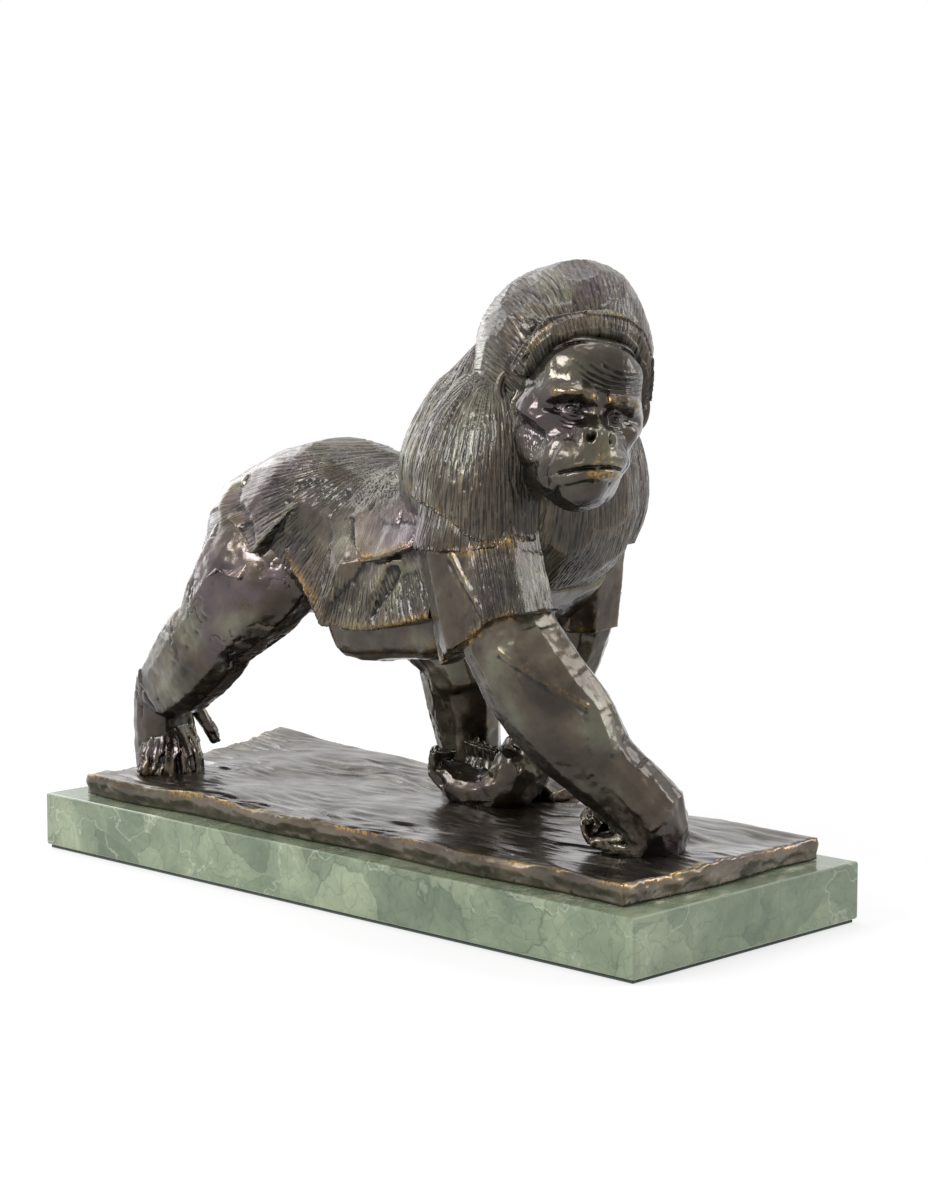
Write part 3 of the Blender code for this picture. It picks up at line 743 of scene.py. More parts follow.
def patinated_bronze():
    # Cast bronze under a hot brown patina and wax: dark, softly glossy, grey-olive where light lies
    # on it, black patina in the hollows with painted shade where the wax faces down, and rubbed to raw gold
    # on the tips of the hair.
    material, tree, shader = fresh("patinated_bronze")
    place = node(tree, "ShaderNodeTexCoord", out="Object")
    wear, hollow, light, tone = (
        node(tree, NOTE, {"attribute_name": name}, "Fac") for name in ("wear", "hollow", "light", "tone")
    )
    comb = node(tree, NOTE, {"attribute_name": "comb"}, "Vector")
    lie = node(tree, "ShaderNodeSeparateXYZ", out=None, Vector=comb)
    # Clouds of oxide about 26 mm across, from brown to grey-olive
    clouds = node(tree, NOISE, Vector=place, Scale=38.0, Detail=5.0, Roughness=0.55)
    browns = ((0.32, "#2f251c"), (0.5, "#483f34"), (0.66, "#656254"))
    brown = node(tree, RAMP, {"stops": browns}, Fac=clouds)
    # A purple blush in patches of 48 mm
    blush = node(tree, NOISE, Vector=place, Scale=21.0, Detail=3.0, Roughness=0.55)
    flush = node(tree, LEVEL, EASED, Value=blush, From_Min=0.50, From_Max=0.66)
    flushed = node(tree, MATHS, TIMES, i0=flush, i1=0.6)
    skin = node(tree, MIX, COLOURS, MIXED, i0=flushed, i6=brown, i7="#574b54")
    # Each knife cut took the patina its own way, from a third darker to a half lighter; each piece is also
    # set darker or lighter, partly for its own patina, partly as painted shade on shaded pieces and painted
    # light on lit ones
    shades = ((0.0, (0.62, 0.6, 0.58, 1)), (1.0, (1.5, 1.5, 1.43, 1)))
    shade = node(tree, RAMP, {"stops": shades}, Fac=light)
    skin = node(tree, MIX, TINTED, MIXED, i0=1.0, i6=skin, i7=shade)
    # Black patina in the hollows, and painted shade where the wax faces down
    skin = node(tree, MIX, COLOURS, MIXED, i0=hollow, i6=skin, i7="#0a0807")
    # Strokes of a comb whose teeth are about 0.8 mm apart, long along the hair
    slow = node(tree, MATHS, TIMES, i0=lie["Y"], i1=0.06)
    lines = node(tree, "ShaderNodeCombineXYZ", X=lie["X"], Y=slow)
    strokes = node(tree, NOISE, Vector=lines, Scale=1.25, Detail=2.0, Roughness=0.55)
    dark = node(tree, LEVEL, EASED, Value=strokes, From_Min=0.47, From_Max=0.36)
    dark = node(tree, MATHS, TIMES, i0=dark, i1=lie["Z"])
    dark = node(tree, MATHS, TIMES, i0=dark, i1=0.8)
    skin = node(tree, MIX, COLOURS, MIXED, i0=dark, i6=skin, i7="#090807")
    # The rough side of the ground plate is a paler earth
    clouded = node(tree, LEVEL, EASED, Value=clouds, From_Min=0.4, From_Max=0.6)
    earth = node(tree, MIX, COLOURS, MIXED, i0=clouded, i6="#4d463c", i7="#6b6154")
    skin = node(tree, MIX, COLOURS, MIXED, i0=tone, i6=skin, i7=earth)
    # Raw metal in specks of 1.4 mm where hands have rubbed
    specks = node(tree, NOISE, Vector=place, Scale=700.0, Detail=3.0, Roughness=0.55)
    specks = node(tree, LEVEL, EASED, Value=specks, From_Min=0.35, From_Max=0.6)
    rubbed = node(tree, MATHS, TIMES, i0=wear, i1=specks)
    skin = node(tree, MIX, COLOURS, MIXED, i0=rubbed, i6=skin, i7="#b08a3c")
    tree.links.new(skin, shader.inputs["Base Color"])
    # The oxide skin is less than pure metal; the blush was polished brighter, and combed hair is duller
    shader.inputs["Metallic"].default_value = 0.85
    polish = node(tree, NOISE, Vector=place, Scale=60.0, Detail=4.0, Roughness=0.55)
    dull = node(
        tree, LEVEL, EASED, Value=polish, From_Min=0.3, From_Max=0.7, To_Min=0.25, To_Max=0.39,
    )
    brighter = node(tree, MATHS, TIMES, i0=flush, i1=0.08)
    dull = node(tree, MATHS, LESS, i0=dull, i1=brighter)
    combed = node(tree, MATHS, TIMES, i0=lie["Z"], i1=0.12)
    dull = node(tree, MATHS, {"operation": "ADD"}, i0=dull, i1=combed)
    tree.links.new(dull, shader.inputs["Roughness"])
    # Wax buffed over it all
    shader.inputs["Coat Weight"].default_value = 0.55
    shader.inputs["Coat Roughness"].default_value = 0.16
    # The strokes again as relief, over tool dents of 3 mm
    hair = node(tree, LEVEL, EASED, Value=strokes, From_Min=0.34, From_Max=0.58)
    hair = node(tree, MATHS, TIMES, i0=hair, i1=lie["Z"])
    hair = node(tree, BUMP, Strength=0.9, Distance=0.0009, Height=hair)
    dents = node(tree, NOISE, Vector=place, Scale=320.0, Detail=3.0, Roughness=0.55)
    relief = node(tree, BUMP, Strength=0.35, Distance=0.0003, Height=dents, Normal=hair)
    tree.links.new(relief, shader.inputs["Normal"])
    return material


def green_marble():
    # Polished green marble: cloudy sage ground with paler broken patches, thin white and dark
    # veins, and a wet-looking polish.
    material, tree, shader = fresh("green_marble")
    place = node(tree, "ShaderNodeTexCoord", out="Object")
    drift = node(tree, NOISE, None, "Color", Vector=place, Scale=14.0, Detail=5.0, Roughness=0.6)
    warped = node(
        tree, "ShaderNodeVectorMath", {"operation": "MULTIPLY_ADD"}, "Vector",
        i0=drift, i1=(0.05, 0.05, 0.05), i2=place,
    )
    # Clouds about 33 mm across
    clouds = node(tree, NOISE, Vector=warped, Scale=30.0, Detail=9.0, Roughness=0.66)
    sage = ((0.30, "#4a5945"), (0.44, "#64745c"), (0.56, "#808d72"), (0.70, "#a6af92"))
    ground = node(tree, RAMP, {"stops": sage}, Fac=clouds)
    # Broken pieces 15 to 35 mm across, each of its own green, in a darker cement
    pieces = node(tree, VORONOI, None, "Color", Vector=warped, Scale=38.0)
    shade = node(tree, "ShaderNodeSeparateXYZ", Vector=pieces)
    greens = ((0.0, "#52604b"), (0.4, "#6a7860"), (0.7, "#818d73"), (1.0, "#9aa487"))
    greens = node(tree, RAMP, {"stops": greens}, Fac=shade)
    stone = node(tree, MIX, COLOURS, MIXED, i0=0.42, i6=ground, i7=greens)
    seams = node(tree, VORONOI, TO_EDGE, "Distance", Vector=warped, Scale=38.0)
    seams = node(tree, LEVEL, EASED, Value=seams, From_Min=0.0, From_Max=0.03, To_Min=0.5, To_Max=0.0)
    patchy = node(tree, NOISE, Vector=place, Scale=22.0, Detail=3.0, Roughness=0.55)
    patchy = node(tree, LEVEL, EASED, Value=patchy, From_Min=0.42, From_Max=0.62)
    seams = node(tree, MATHS, TIMES, i0=seams, i1=patchy)
    stone = node(tree, MIX, COLOURS, MIXED, i0=seams, i6=stone, i7="#414e3b")
    # Pale threads where another noise crosses its middle
    thread = node(tree, NOISE, Vector=warped, Scale=17.0, Detail=4.0, Roughness=0.55)
    thread = node(tree, MATHS, LESS, i0=thread, i1=0.5)
    thread = node(tree, MATHS, {"operation": "ABSOLUTE"}, i0=thread)
    thread = node(tree, LEVEL, EASED, Value=thread, From_Min=0.0, From_Max=0.008, To_Min=0.5, To_Max=0.0)
    stone = node(tree, MIX, COLOURS, MIXED, i0=thread, i6=stone, i7="#aab1a0")
    # Hairline veins about 9 mm apart
    veins = node(tree, VORONOI, TO_EDGE, "Distance", Vector=warped, Scale=110.0)
    veins = node(tree, LEVEL, EASED, Value=veins, From_Min=0.0, From_Max=0.04, To_Min=0.35, To_Max=0.0)
    stone = node(tree, MIX, COLOURS, MIXED, i0=veins, i6=stone, i7="#4b5845")
    tree.links.new(stone, shader.inputs["Base Color"])
    shader.inputs["Roughness"].default_value = 0.22
    shader.inputs["Coat Weight"].default_value = 0.3
    shader.inputs["Coat Roughness"].default_value = 0.08
    grain = node(tree, NOISE, Vector=place, Scale=500.0, Detail=3.0, Roughness=0.55)
    pits = node(tree, BUMP, Strength=0.15, Distance=0.0002, Height=grain)
    tree.links.new(pits, shader.inputs["Normal"])
    return material


def needle_felt():
    # Needle-punched felt glued under the marble: matt, nearly black green, with a short nap.
    material, tree, shader = fresh("needle_felt")
    place = node(tree, "ShaderNodeTexCoord", out="Object")
    nap = node(tree, NOISE, Vector=place, Scale=2200.0, Detail=4.0, Roughness=0.7)
    colour = node(tree, RAMP, {"stops": ((0.3, "#2a352d"), (0.7, "#47554b"))}, Fac=nap)
    tree.links.new(colour, shader.inputs["Base Color"])
    shader.inputs["Roughness"].default_value = 0.95
    shader.inputs["Sheen Weight"].default_value = 0.3
    fibres = node(tree, BUMP, Strength=0.6, Distance=0.0004, Height=nap)
    tree.links.new(fibres, shader.inputs["Normal"])
    return material


def zinc_plated_steel():
    # Bright zinc-plated steel: cool grey metal with faint turning marks 1.1 mm apart.
    material, tree, shader = fresh("zinc_plated_steel")
    place = node(tree, "ShaderNodeTexCoord", out="Object")
    marks = node(tree, NOISE, Vector=place, Scale=900.0, Detail=3.0, Roughness=0.55)
    greys = node(tree, RAMP, {"stops": ((0.3, "#9a9da0"), (0.7, "#c2c5c8"))}, Fac=marks)
    tree.links.new(greys, shader.inputs["Base Color"])
    shader.inputs["Metallic"].default_value = 1.0
    dull = node(tree, LEVEL, EASED, Value=marks, From_Min=0.3, From_Max=0.7, To_Min=0.25, To_Max=0.42)
    tree.links.new(dull, shader.inputs["Roughness"])
    turning = node(tree, BUMP, Strength=0.2, Distance=0.0001, Height=marks)
    tree.links.new(turning, shader.inputs["Normal"])
    return material


BRONZE = patinated_bronze()


# Head

def face_bar(bm, points, across, count):
    turned = [(*on_face(p[:3]), p[3], p[4]) for p in points]
    limb_into(bm, eased_stations(turned, 3), FACE @ Vector(across), count, 0.95)


def face_ball(bm, point, radii):
    ball_into(bm, on_face(point), radii, FACE)


# Depth of the face at places to the left and up, all from between the eyes; each stands for both sides
FACE_RELIEF = [
    (0, 29, -3), (13, 29, -7), (18, 24, -11), (23, 18, -14),
    (0, 21, 2.4), (5, 20, 3.2), (12, 21, 0.4), (17, 20, -4),
    (0, 14, 3.8), (8, 15, 3.2), (15, 14.5, -0.8), (21, 13, -9),
    (0, 9, 3.4), (7, 9.6, 4.2), (14, 9.4, 0.8), (19.5, 8, -5.4),
    (0, 4.8, 5.0), (4.6, 3.6, 7.6), (10, 5.0, 7.0), (15, 4.6, 3.0), (18.5, 4.0, -2.0), (21.5, 3, -8.5),
    (4.6, 1.6, 1.2), (9.5, 1.8, -1.6), (14, 1.2, -4.2), (18, 0, -6.6),
    (0, 1, 4.8), (4.4, -1.4, 0.6), (9.3, -1.0, -0.8), (13.4, -1.2, -3.6),
    (0, -3.4, 8.0), (3.2, -4.2, 6.0), (5.4, -4.6, 2.4), (9.5, -4.6, -0.2), (14, -5, -2.8), (18, -5.4, -4.2),
    (23, -3, -10),
    (0, -7.2, 13.2), (3, -6.8, 11.2), (6.6, -7.6, 7.6), (9.4, -8.4, 3.0), (13, -9, -0.4), (18.5, -10, -5.4),
    (0, -11.4, 13.6), (4.5, -12.4, 12.0), (8.0, -11.4, 8.2), (10.4, -12.6, 5.6), (14, -12.4, 2.4),
    (17.5, -14, -3.6),
    (0, -15, 13.2), (6, -15.6, 12.2), (11, -16, 8.8), (15, -16.6, 3.6), (18.4, -19, -4.4), (23, -14, -16),
    (0, -18.8, 14.4), (5, -18.8, 13.2), (10, -19.2, 9.4), (14, -20, 4.0),
    (0, -21.6, 12.8), (6, -21.7, 11.4), (10.5, -22.2, 7.6), (13.4, -23, 3.4),
    (0, -24.6, 13.8), (5, -24.8, 12.6), (9.5, -25.2, 8.6), (12.6, -26, 3.6), (17, -26, -8),
    (0, -28.8, 10.0), (6, -29.2, 8.0), (11, -30.2, 1.0),
    (0, -33, 9.2), (5, -33.6, 6.8), (9, -35.6, -0.6), (0, -38.4, 2.6), (5, -38.8, 0),
]


def face_depth(local):
    """How far forward the face stands, as a smooth sheet laid over the relief."""
    both = [(side, row) for row in FACE_RELIEF for side in (1, -1) if row[0] or side > 0]
    places = np.array([(side * left, up) for side, (left, up, _) in both], float)
    depths = np.array([ahead for _, (_, _, ahead) in both], float)

    def sheet(at):
        away = ((at[:, None] - places[None]) ** 2).sum(2)
        return 0.5 * away * np.log(np.maximum(away, 1e-9))

    flat = np.hstack([np.ones((len(places), 1)), places])
    system = np.block([[sheet(places) + 0.4 * np.eye(len(places)), flat], [flat.T, np.zeros((3, 3))]])
    weights = np.linalg.solve(system, np.concatenate([depths, np.zeros(3)]))
    found = np.empty(len(local))
    for start in range(0, len(local), BATCH):
        at = local[start:start + BATCH, 1:]
        found[start:start + BATCH] = sheet(at) @ weights[:-3] + weights[-3] + at @ weights[-2:]
    return found


def fill_face(bm):
    # Skull, cheeks, muzzle and jaw, over which the relief is laid
    face_ball(bm, (-25, 0, 6), (25, 24, 26))
    face_ball(bm, (-17, 0, 14), (19, 21, 14))
    face_ball(bm, (-18, 0, -6), (16.5, 20.5, 22))
    face_ball(bm, (-15, 0, -22), (15, 17, 15))
    face_ball(bm, (-11, 0, -28), (13, 12, 10.5))
    for side in (-1, 1):
        face_ball(bm, (-19, side * 12, 0), (15.5, 13, 14))
        face_ball(bm, (-22, side * 14, -10), (14, 11 if side < 0 else 8.6, 16))
        face_ball(bm, (-18, side * 10, -23), (13, 9, 11))


def fill_ears(bm):
    # Double-rimmed ears that stand out from the head, each with a deep shell
    for side in (-1, 1):
        middle = Vector((-28.4, side * 27.2, 6.0))
        out = Vector((-0.486, side * 0.874, 0))
        back = Vector((-0.874, -side * 0.486, 0))
        for ring, start, end, thick in ((1.0, -95, 262, 1.35), (0.6, -60, 215, 0.8)):
            sunk = middle + back * (1.4 * (1 - ring))
            rim = [
                sunk + out * (4.2 * ring * math.cos(t)) + Vector((0, 0, 6.6 * ring * math.sin(t)))
                for t in np.radians(np.linspace(start, end, 16))
            ]
            face_bar(bm, [(*p, thick, thick * 1.1) for p in rim], back, 8)
        shell = [middle + back * 3.0 + Vector((0, 0, up)) for up in (-6.2, -3, 1, 5, 6.8)]
        face_bar(bm, [(*p, wide, 1.4) for p, wide in zip(shell, (1.6, 3, 4.2, 3.8, 2.0))], out, 10)
        face_ball(bm, middle - out * 2.6 + Vector((0, 0, -6.6)), (1.8, 1.6, 2.4))


def build_face():
    face = Wax("gorilla_face", fill_face, 0.36, 20)
    turned = np.array(FACE)
    middle = np.array(EYES) + (0, 0, LIFT)

    def seen():
        """Places on the face, with the mouth's slant taken out, and how much each looks forward."""
        local = (face.p - middle) @ turned
        local[:, 2] -= 0.22 * local[:, 1] * ease(-local[:, 2], 12, 23)
        front = ease((face.n @ turned)[:, 0], -0.05, 0.35)
        return local, front

    local, front = seen()
    hold = ease((face.n @ turned)[:, 0], 0.02, 0.4) * (1 - ease(np.abs(local[:, 1]), 18.5, 24))
    hold *= ease(local[:, 2], -41, -36) * (1 - ease(local[:, 2], 27, 33))
    ahead = face.blur(hold * (face_depth(local) - local[:, 0]), 3)
    face.p += ahead[:, None] * turned[:, 0]
    face.write()
    face.fuse(0.36, 2)

    def side_crease(path, width, depth):
        """A line cut along both cheeks, given as forward and up."""
        local, _ = seen()
        flank = ease(np.abs((face.n @ turned)[:, 1]), 0.15, 0.5)
        away, _ = distance_to_path(local[:, (0, 2)], path)
        flank *= np.where(local[:, 1] > 0, 0.3, 1.0)
        face.push(-depth * np.exp(-((away / width) ** 2)) * flank)

    def crease(path, width, depth, both=True):
        """A line cut into the face; a negative depth raises a fold."""
        local, front = seen()
        height = np.zeros(face.count)
        total = sum(math.dist(a, b) for a, b in zip(path, path[1:]))
        closed = math.dist(path[0], path[-1]) < 0.1
        for side in ((1, -1) if both else (1,)):
            away, run = distance_to_path(local[:, 1:] * (side, 1), path)
            force = 1.0 if closed else 0.25 + 0.75 * ease(np.minimum(run, total - run), 0, 1.6)
            height = np.maximum(height, force * np.exp(-((away / width) ** 2)))
        face.push(-depth * height * front * (0.85 + 0.3 * ripple(face.p / 2.4, 77)))

    def dent(left, up, wide, tall, depth, steep=1):
        """A hollow of this size on both sides; a negative depth raises a mound."""
        local, front = seen()
        off = ((np.abs(local[:, 1]) - left) / wide) ** 2 + ((local[:, 2] - up) / tall) ** 2
        face.push(-depth * np.exp(-(off**steep)) * front)

    # Cheekbones over their hollows
    side_crease([(-26, 1.5), (-20, -1), (-13, -3.6), (-7, -6)], 2.4, -1.5)
    side_crease([(-20, -7.5), (-12, -10), (-6, -12.5)], 2.6, 1.7)
    dent(16.6, -3.8, 3.4, 2.2, -1.3)
    dent(15.6, -10.6, 2.6, 3.2, 1.1)
    # Eyeballs in their lids, with the iris cut round
    dent(8.6, -0.9, 2.1, 1.7, -1.5, 2)
    crease([(5.4, -1.5), (6.6, -0.1), (8.6, 0.7), (10.5, 0.2), (11.8, -1.3)], 0.5, -0.75)
    crease([(5.4, -1.6), (6.8, -2.3), (8.6, -2.6), (10.4, -2.2), (11.8, -1.4)], 0.45, -0.55)
    crease([(5.8, -1.3), (7.0, -0.5), (8.6, -0.1), (10.1, -0.4), (11.2, -1.3)], 0.26, 0.5)
    crease([(5.8, -1.5), (7.0, -1.9), (8.6, -2.0), (10.1, -1.8), (11.2, -1.4)], 0.26, 0.4)
    iris = [(8.4 + 0.85 * math.cos(t), -1.0 + 0.8 * math.sin(t)) for t in np.linspace(0, 2 * math.pi, 13)]
    crease(iris, 0.25, 0.3)
    crease([(4.6, 1.4), (7, 2.1), (10, 2.0), (13, 0.8)], 0.6, 0.7)
    crease([(12.2, -1.2), (14.4, -0.4), (16, 0.8)], 0.4, 0.5)
    crease([(12.2, -1.8), (14.6, -2.2), (16.4, -2.0)], 0.4, 0.45)
    # Bags under the eyes
    crease([(4.6, -2.8), (7.0, -4.1), (9.6, -4.2), (12.8, -3.0)], 0.5, 0.55)
    crease([(4.6, -4.4), (7.4, -5.6), (10.6, -5.7), (14.0, -4.4)], 0.5, 0.5)
    crease([(6.0, -6.2), (8.6, -7.2), (11.4, -7.2), (14.6, -6.2)], 0.5, 0.35)
    # Nostrils with raised wings
    dent(4.7, -9.9, 3.4, 3.6, -0.9, 2)
    dent(4.6, -9.9, 1.65, 2.5, 5.4, 2)
    crease([(4.8, -5.6), (8.4, -7.6), (8.8, -11), (7.2, -13.6)], 0.6, -0.5)
    crease([(8.6, -6.8), (9.4, -10), (8.4, -13.2)], 0.7, 0.8)
    crease([(0, -6), (0, -14)], 0.8, 0.55)
    # Lips
    mouth = [(0, -21.4), (4, -21.2), (8, -21.6), (11, -22.2), (13.4, -23)]
    crease(mouth, 0.55, 1.9)
    crease([(0, -19.9), (4, -19.7), (8, -20.2), (11, -20.9)], 0.8, -0.55)
    crease([(0, -23.3), (4, -23.2), (8, -23.7), (11, -24.4)], 0.8, -0.55)
    crease([(0, -27.2), (5, -27.5), (9, -28.6)], 1.0, 0.9)
    crease([(13.8, -22), (15, -24.5), (14, -28)], 0.7, 0.7)
    for left, top in ((3, -17.5), (6, -17.2), (9, -17.2), (11.6, -17.6)):
        crease([(left, top), (left * 1.04, top - 1.9)], 0.3, 0.3)
    # Folds from the nose to the corners of the mouth, and the groove over the lip
    crease([(9.6, -10.4), (12.4, -12), (15.2, -15.4), (16.4, -20), (15.6, -25)], 0.8, 1.0)
    crease([(12, -9.4), (15, -11.6), (17.2, -15.4)], 0.6, 0.5)
    crease([(0, -14.8), (0, -18)], 0.7, 0.5)
    # Furrows between the brows and wrinkles over them
    crease([(1.8, 3.6), (1.4, 7), (2.6, 10)], 0.6, 0.8)
    crease([(0, 1), (3.6, 2.2)], 0.6, 0.6)
    for line in (
        [(-9, 11.6), (-4.5, 9.4), (2, 8.2), (9, 8.8), (17, 9.6)],
        [(-11, 14.6), (-5, 11.4), (2, 9.9), (9.5, 10.4), (18, 11.6)],
        [(-12, 17.6), (-6, 14.0), (2, 11.7), (10, 12.0), (18, 13.6)],
        [(-7, 17.4), (-1, 14.8), (6, 13.6), (12, 14.2), (17.4, 15.8)],
        [(-2, 18.6), (4, 16.2), (10, 15.6), (16, 17.4)],
    ):
        crease(line, 0.42, 0.62, False)
        crease([(left, up + 0.95) for left, up in line], 0.55, -0.42, False)
    # Short hair on cheeks and jaw, and tool marks everywhere
    local, _ = seen()
    furry = ease(np.abs(local[:, 1]), 16.5, 20) * ease(-local[:, 2], 8, 13)
    furry = np.maximum(furry, ease(-local[:, 2], 32, 35))
    face.comb(local[:, 0] + 0.35 * local[:, 2], local[:, 2], 1.0, 0.3, furry, 6, 61)
    face.push(0.15 * rough(face.p / 3.2, 3, 3) + 0.05 * ripple(face.p / 0.8, 8))
    face.finish(dark=0.42)
    ears = Wax("gorilla_ears", fill_ears, 0.4, 3)
    ears.finish(dark=0.3)


def fill_hood(bm):
    hood = []
    for forward, left, up, half, length in HOOD:
        middle = on_face((forward, left, up), HEAD)
        hood.append((*middle, half, length))
    limb_into(bm, eased_stations(hood, 4), HEAD @ Vector((0, 1, 0)), 28, 0.95, 0.2)
    face_bar(bm, [
        (-21, -26, 12, 4, 4), (-18, -24, 18.5, 5, 5.5), (-12, -16.5, 29, 5, 6), (-9.5, 0, 34.5, 5, 6.5),
        (-12, 14, 31.5, 5, 6), (-17, 21.5, 20, 5, 5.5), (-22, 25, 9, 4.5, 4.5),
    ], (1, 0, 0), 14)


def hood_comb(p):
    local = (p - np.array(EYES)) @ np.array(HEAD)
    left, up = local[:, 1] - 5, local[:, 2] + 26
    across = np.arctan2(left, up) * 58
    along = np.hypot(left, up) - 0.6 * local[:, 0]
    return across, along, np.ones(len(p))


def build_hood():
    hood = Wax("gorilla_hood", fill_hood, 0.42, 3)
    hood.cut_planes(16, 0.5, 4)
    across, along, strength = hood_comb(hood.p)
    hood.comb(across, along, 3.7, 0.2, strength, 24, 8)
    hood.comb(across, along, 1.6, 0.36, strength, 10, 1)
    hood.finish(hood_comb)


# Shoulders and trunk

def hanging_comb(middle, radius):
    """Hair that hangs down all round an upright line."""
    def comb(p):
        across = np.arctan2(p[:, 1] - middle[1], p[:, 0] - middle[0]) * radius
        return across, -p[:, 2], np.ones(len(p))
    return comb


CAPES = [
    ("gorilla_mantle", MANTLE, 26, 0.45, (54, -2), 44, None),
    ("gorilla_right_cape", RIGHT_CAPE, 24, 0, (65, -28), 30, UPPER_CAPE_EDGE),
    ("gorilla_lower_cape", RIGHT_UNDER_CAPE, 24, 0, (65, -28), 30, LOWER_CAPE_EDGE),
    ("gorilla_left_cape", LEFT_CAPE, 24, 0, (63, 22), 26, LEFT_CAPE_EDGE),
]


def build_shoulders():
    for name, stations, count, ends, middle, radius, edge in CAPES:
        def fill(bm):
            limb_into(bm, eased_stations(stations), (0, 1, 0), count, ends=ends)

        cape = Wax(name, fill, 0.5, 3)
        comb = hanging_comb(middle, radius)
        across, along, strength = comb(cape.p)
        if edge:
            cape.trim(edge, across, 0.5, 1.6, 4)
        cape.comb(across, along, 4.7, 0.3, strength, 28, 12)
        cape.comb(across, along, 1.7, 0.5, strength, 12, 2)
        # The capes are set a little lighter, partly as painted light
        cape.finish(comb, dark=-0.1)


def fill_trunk(bm):
    trunk_into(bm, TRUNK)
    for middle, radii in HAUNCHES:
        ball_into(bm, middle, radii)
    for corners in PLATES_OF_HAIR:
        slab_into(bm, corners, HAIR_THICKNESS)


def trunk_comb(p):
    """Hair that fans out over back and flank from a parting behind the shoulders."""
    x, z = p[:, 0] - 2, p[:, 2] - 188
    fringe, _ = distance_to_path(p, FLANK_FRINGE)
    flank = ease(p[:, 0], -52, -40) * ease(-p[:, 1], 30, 38)
    strength = ease(p[:, 2], 104, 116) * (1 - 0.85 * flank * ease(fringe, 12, 22))
    strength = strength * (1 - 0.8 * ease(-p[:, 0], 56, 72) * ease(-p[:, 1], 8, 20))
    return np.arctan2(x, -z) * 62, np.hypot(x, z), strength * (1 - ease(p[:, 0], 72, 84))


def chest_comb(p):
    """Hair that hangs down the breast."""
    return p[:, 1] - 0.25 * p[:, 0], -p[:, 2], ease(p[:, 0], 76, 86) * ease(p[:, 2], 118, 128)


def body_comb(p):
    back, chest = trunk_comb(p), chest_comb(p)
    return tuple(np.where(p[:, 0] > 79, c, b) for b, c in zip(back, chest))


def build_trunk():
    trunk = Wax("gorilla_trunk", fill_trunk, 0.55, 2)
    trunk.cut_planes(21, 0.6, 7, soften=3)
    trunk.relax((-86, -42, 146), 15, 14)
    trunk.relax((-58, -44, 142), 8, 6)
    across, along, strength = trunk_comb(trunk.p)
    trunk.comb(across, along, 5.0, 0.35, strength, 40, 21)
    trunk.comb(across, along, 1.7, 0.65, strength, 14, 22)
    across, along, strength = chest_comb(trunk.p)
    trunk.comb(across, along, 1.6, 0.45, strength, 18, 23)
    trunk.push(0.22 * rough(trunk.p / 6, 3, 71))
    # The trunk is set a little lighter, partly as painted light on its lit flank
    trunk.finish(body_comb, dark=-0.15)
    belly = Wax("gorilla_belly", lambda bm: trunk_into(bm, BELLY, 24, 0.42), 0.7, 2)
    belly.cut_planes(26, 0.5, 3)
    belly.push(0.2 * rough(belly.p / 6, 3, 2))
    # The belly is darkened as painted shade, for it lies in shadow under the flank
    belly.finish(dark=0.4)


# Arms and legs

def tube_into(bm, points, radius):
    limb_into(bm, eased_stations([(*p, radius, radius) for p in points]), (0.3, 0.9, 0.2), 10, 1.0)


def fill_right_arm(bm):
    limb_into(bm, eased_stations(RIGHT_FOREARM), count=12)
    # Back of the hand, knuckles, and the fingers folded back under it into a curl
    limb_into(bm, [
        (134, -13, 54, 13, 13), (134.5, -11, 47, 14, 13.5),
        (133, -9, 40, 14, 13.5), (131, -9, 34, 12, 11.5),
    ], count=14)
    fingers = [(136, -14, 38, 9, 6), (126, -17, 37.5, 8, 5.5), (116, -19, 37.5, 7, 4.5)]
    limb_into(bm, eased_stations(fingers), (0, 1, 0), 12)
    turns = [math.radians(-70 - 42 * i) for i in range(7)]
    curl = [(115.5 + 7.0 * math.cos(t), -19, 44.5 + 6.8 * math.sin(t), 6.0, 3.2) for t in turns]
    limb_into(bm, curl, (0, 1, 0), 12)
    for x, z in ((113.2, 47.6), (117.0, 48.4), (119.6, 45.6)):
        tube_into(bm, [(x, -17, z), (x - 0.6, -25.4, z)], 1.9)


def fill_left_arm(bm):
    limb_into(bm, eased_stations(LEFT_FOREARM), count=12)
    # A hand bent like a boat, the tips of its fingers standing in a ring, its thumb at the end
    limb_into(bm, eased_stations([
        (33, 24, 54, 12, 11), (29, 21, 43, 12, 10.5), (18, 17, 39.5, 11, 8.5), (6, 15, 41, 10, 8),
        (0, 14, 46, 8.5, 6),
    ]), count=14)
    tube_into(bm, [(1, 8, 42), (-3, 6, 49), (-2.5, 6, 56)], 3.1)
    tube_into(bm, [(1, 14, 44), (-4, 14, 51), (-2, 14, 56)], 2.8)
    for i in range(4):
        x = 1.5 + 4.6 * i
        tube_into(bm, [(x, 24, 42), (x - 1, 27.5, 51), (x - 0.3, 25.5, 58.5 - 0.5 * i)], 2.5)


def fill_right_leg(bm):
    limb_into(bm, eased_stations(RIGHT_THIGH), count=12)
    limb_into(bm, eased_stations(RIGHT_CALF), count=12)
    limb_into(bm, eased_stations(RIGHT_FOOT), (0, 1, 0), 14)
    # Four toes and a short one fan out from the instep, and the thumb-like toe stands behind
    for i, turn in enumerate((-80, -58, -36, -14, 8)):
        way = Vector((math.cos(math.radians(turn)), math.sin(math.radians(turn)), 0))
        root = Vector((-146, -20, 0))
        steps = ((8, 52), (12.5, 47.5), (16.5, 41.5), (19 - 0.4 * i, 36), (19.6 - 0.4 * i, 33.5))
        tube_into(bm, [tuple(root + way * reach + Vector((0, 0, z))) for reach, z in steps], 3.1)
    tube_into(bm, [(-144, -9, 65), (-141, -6, 58), (-137.5, -3, 51), (-135.5, -1.5, 46)], 3.6)


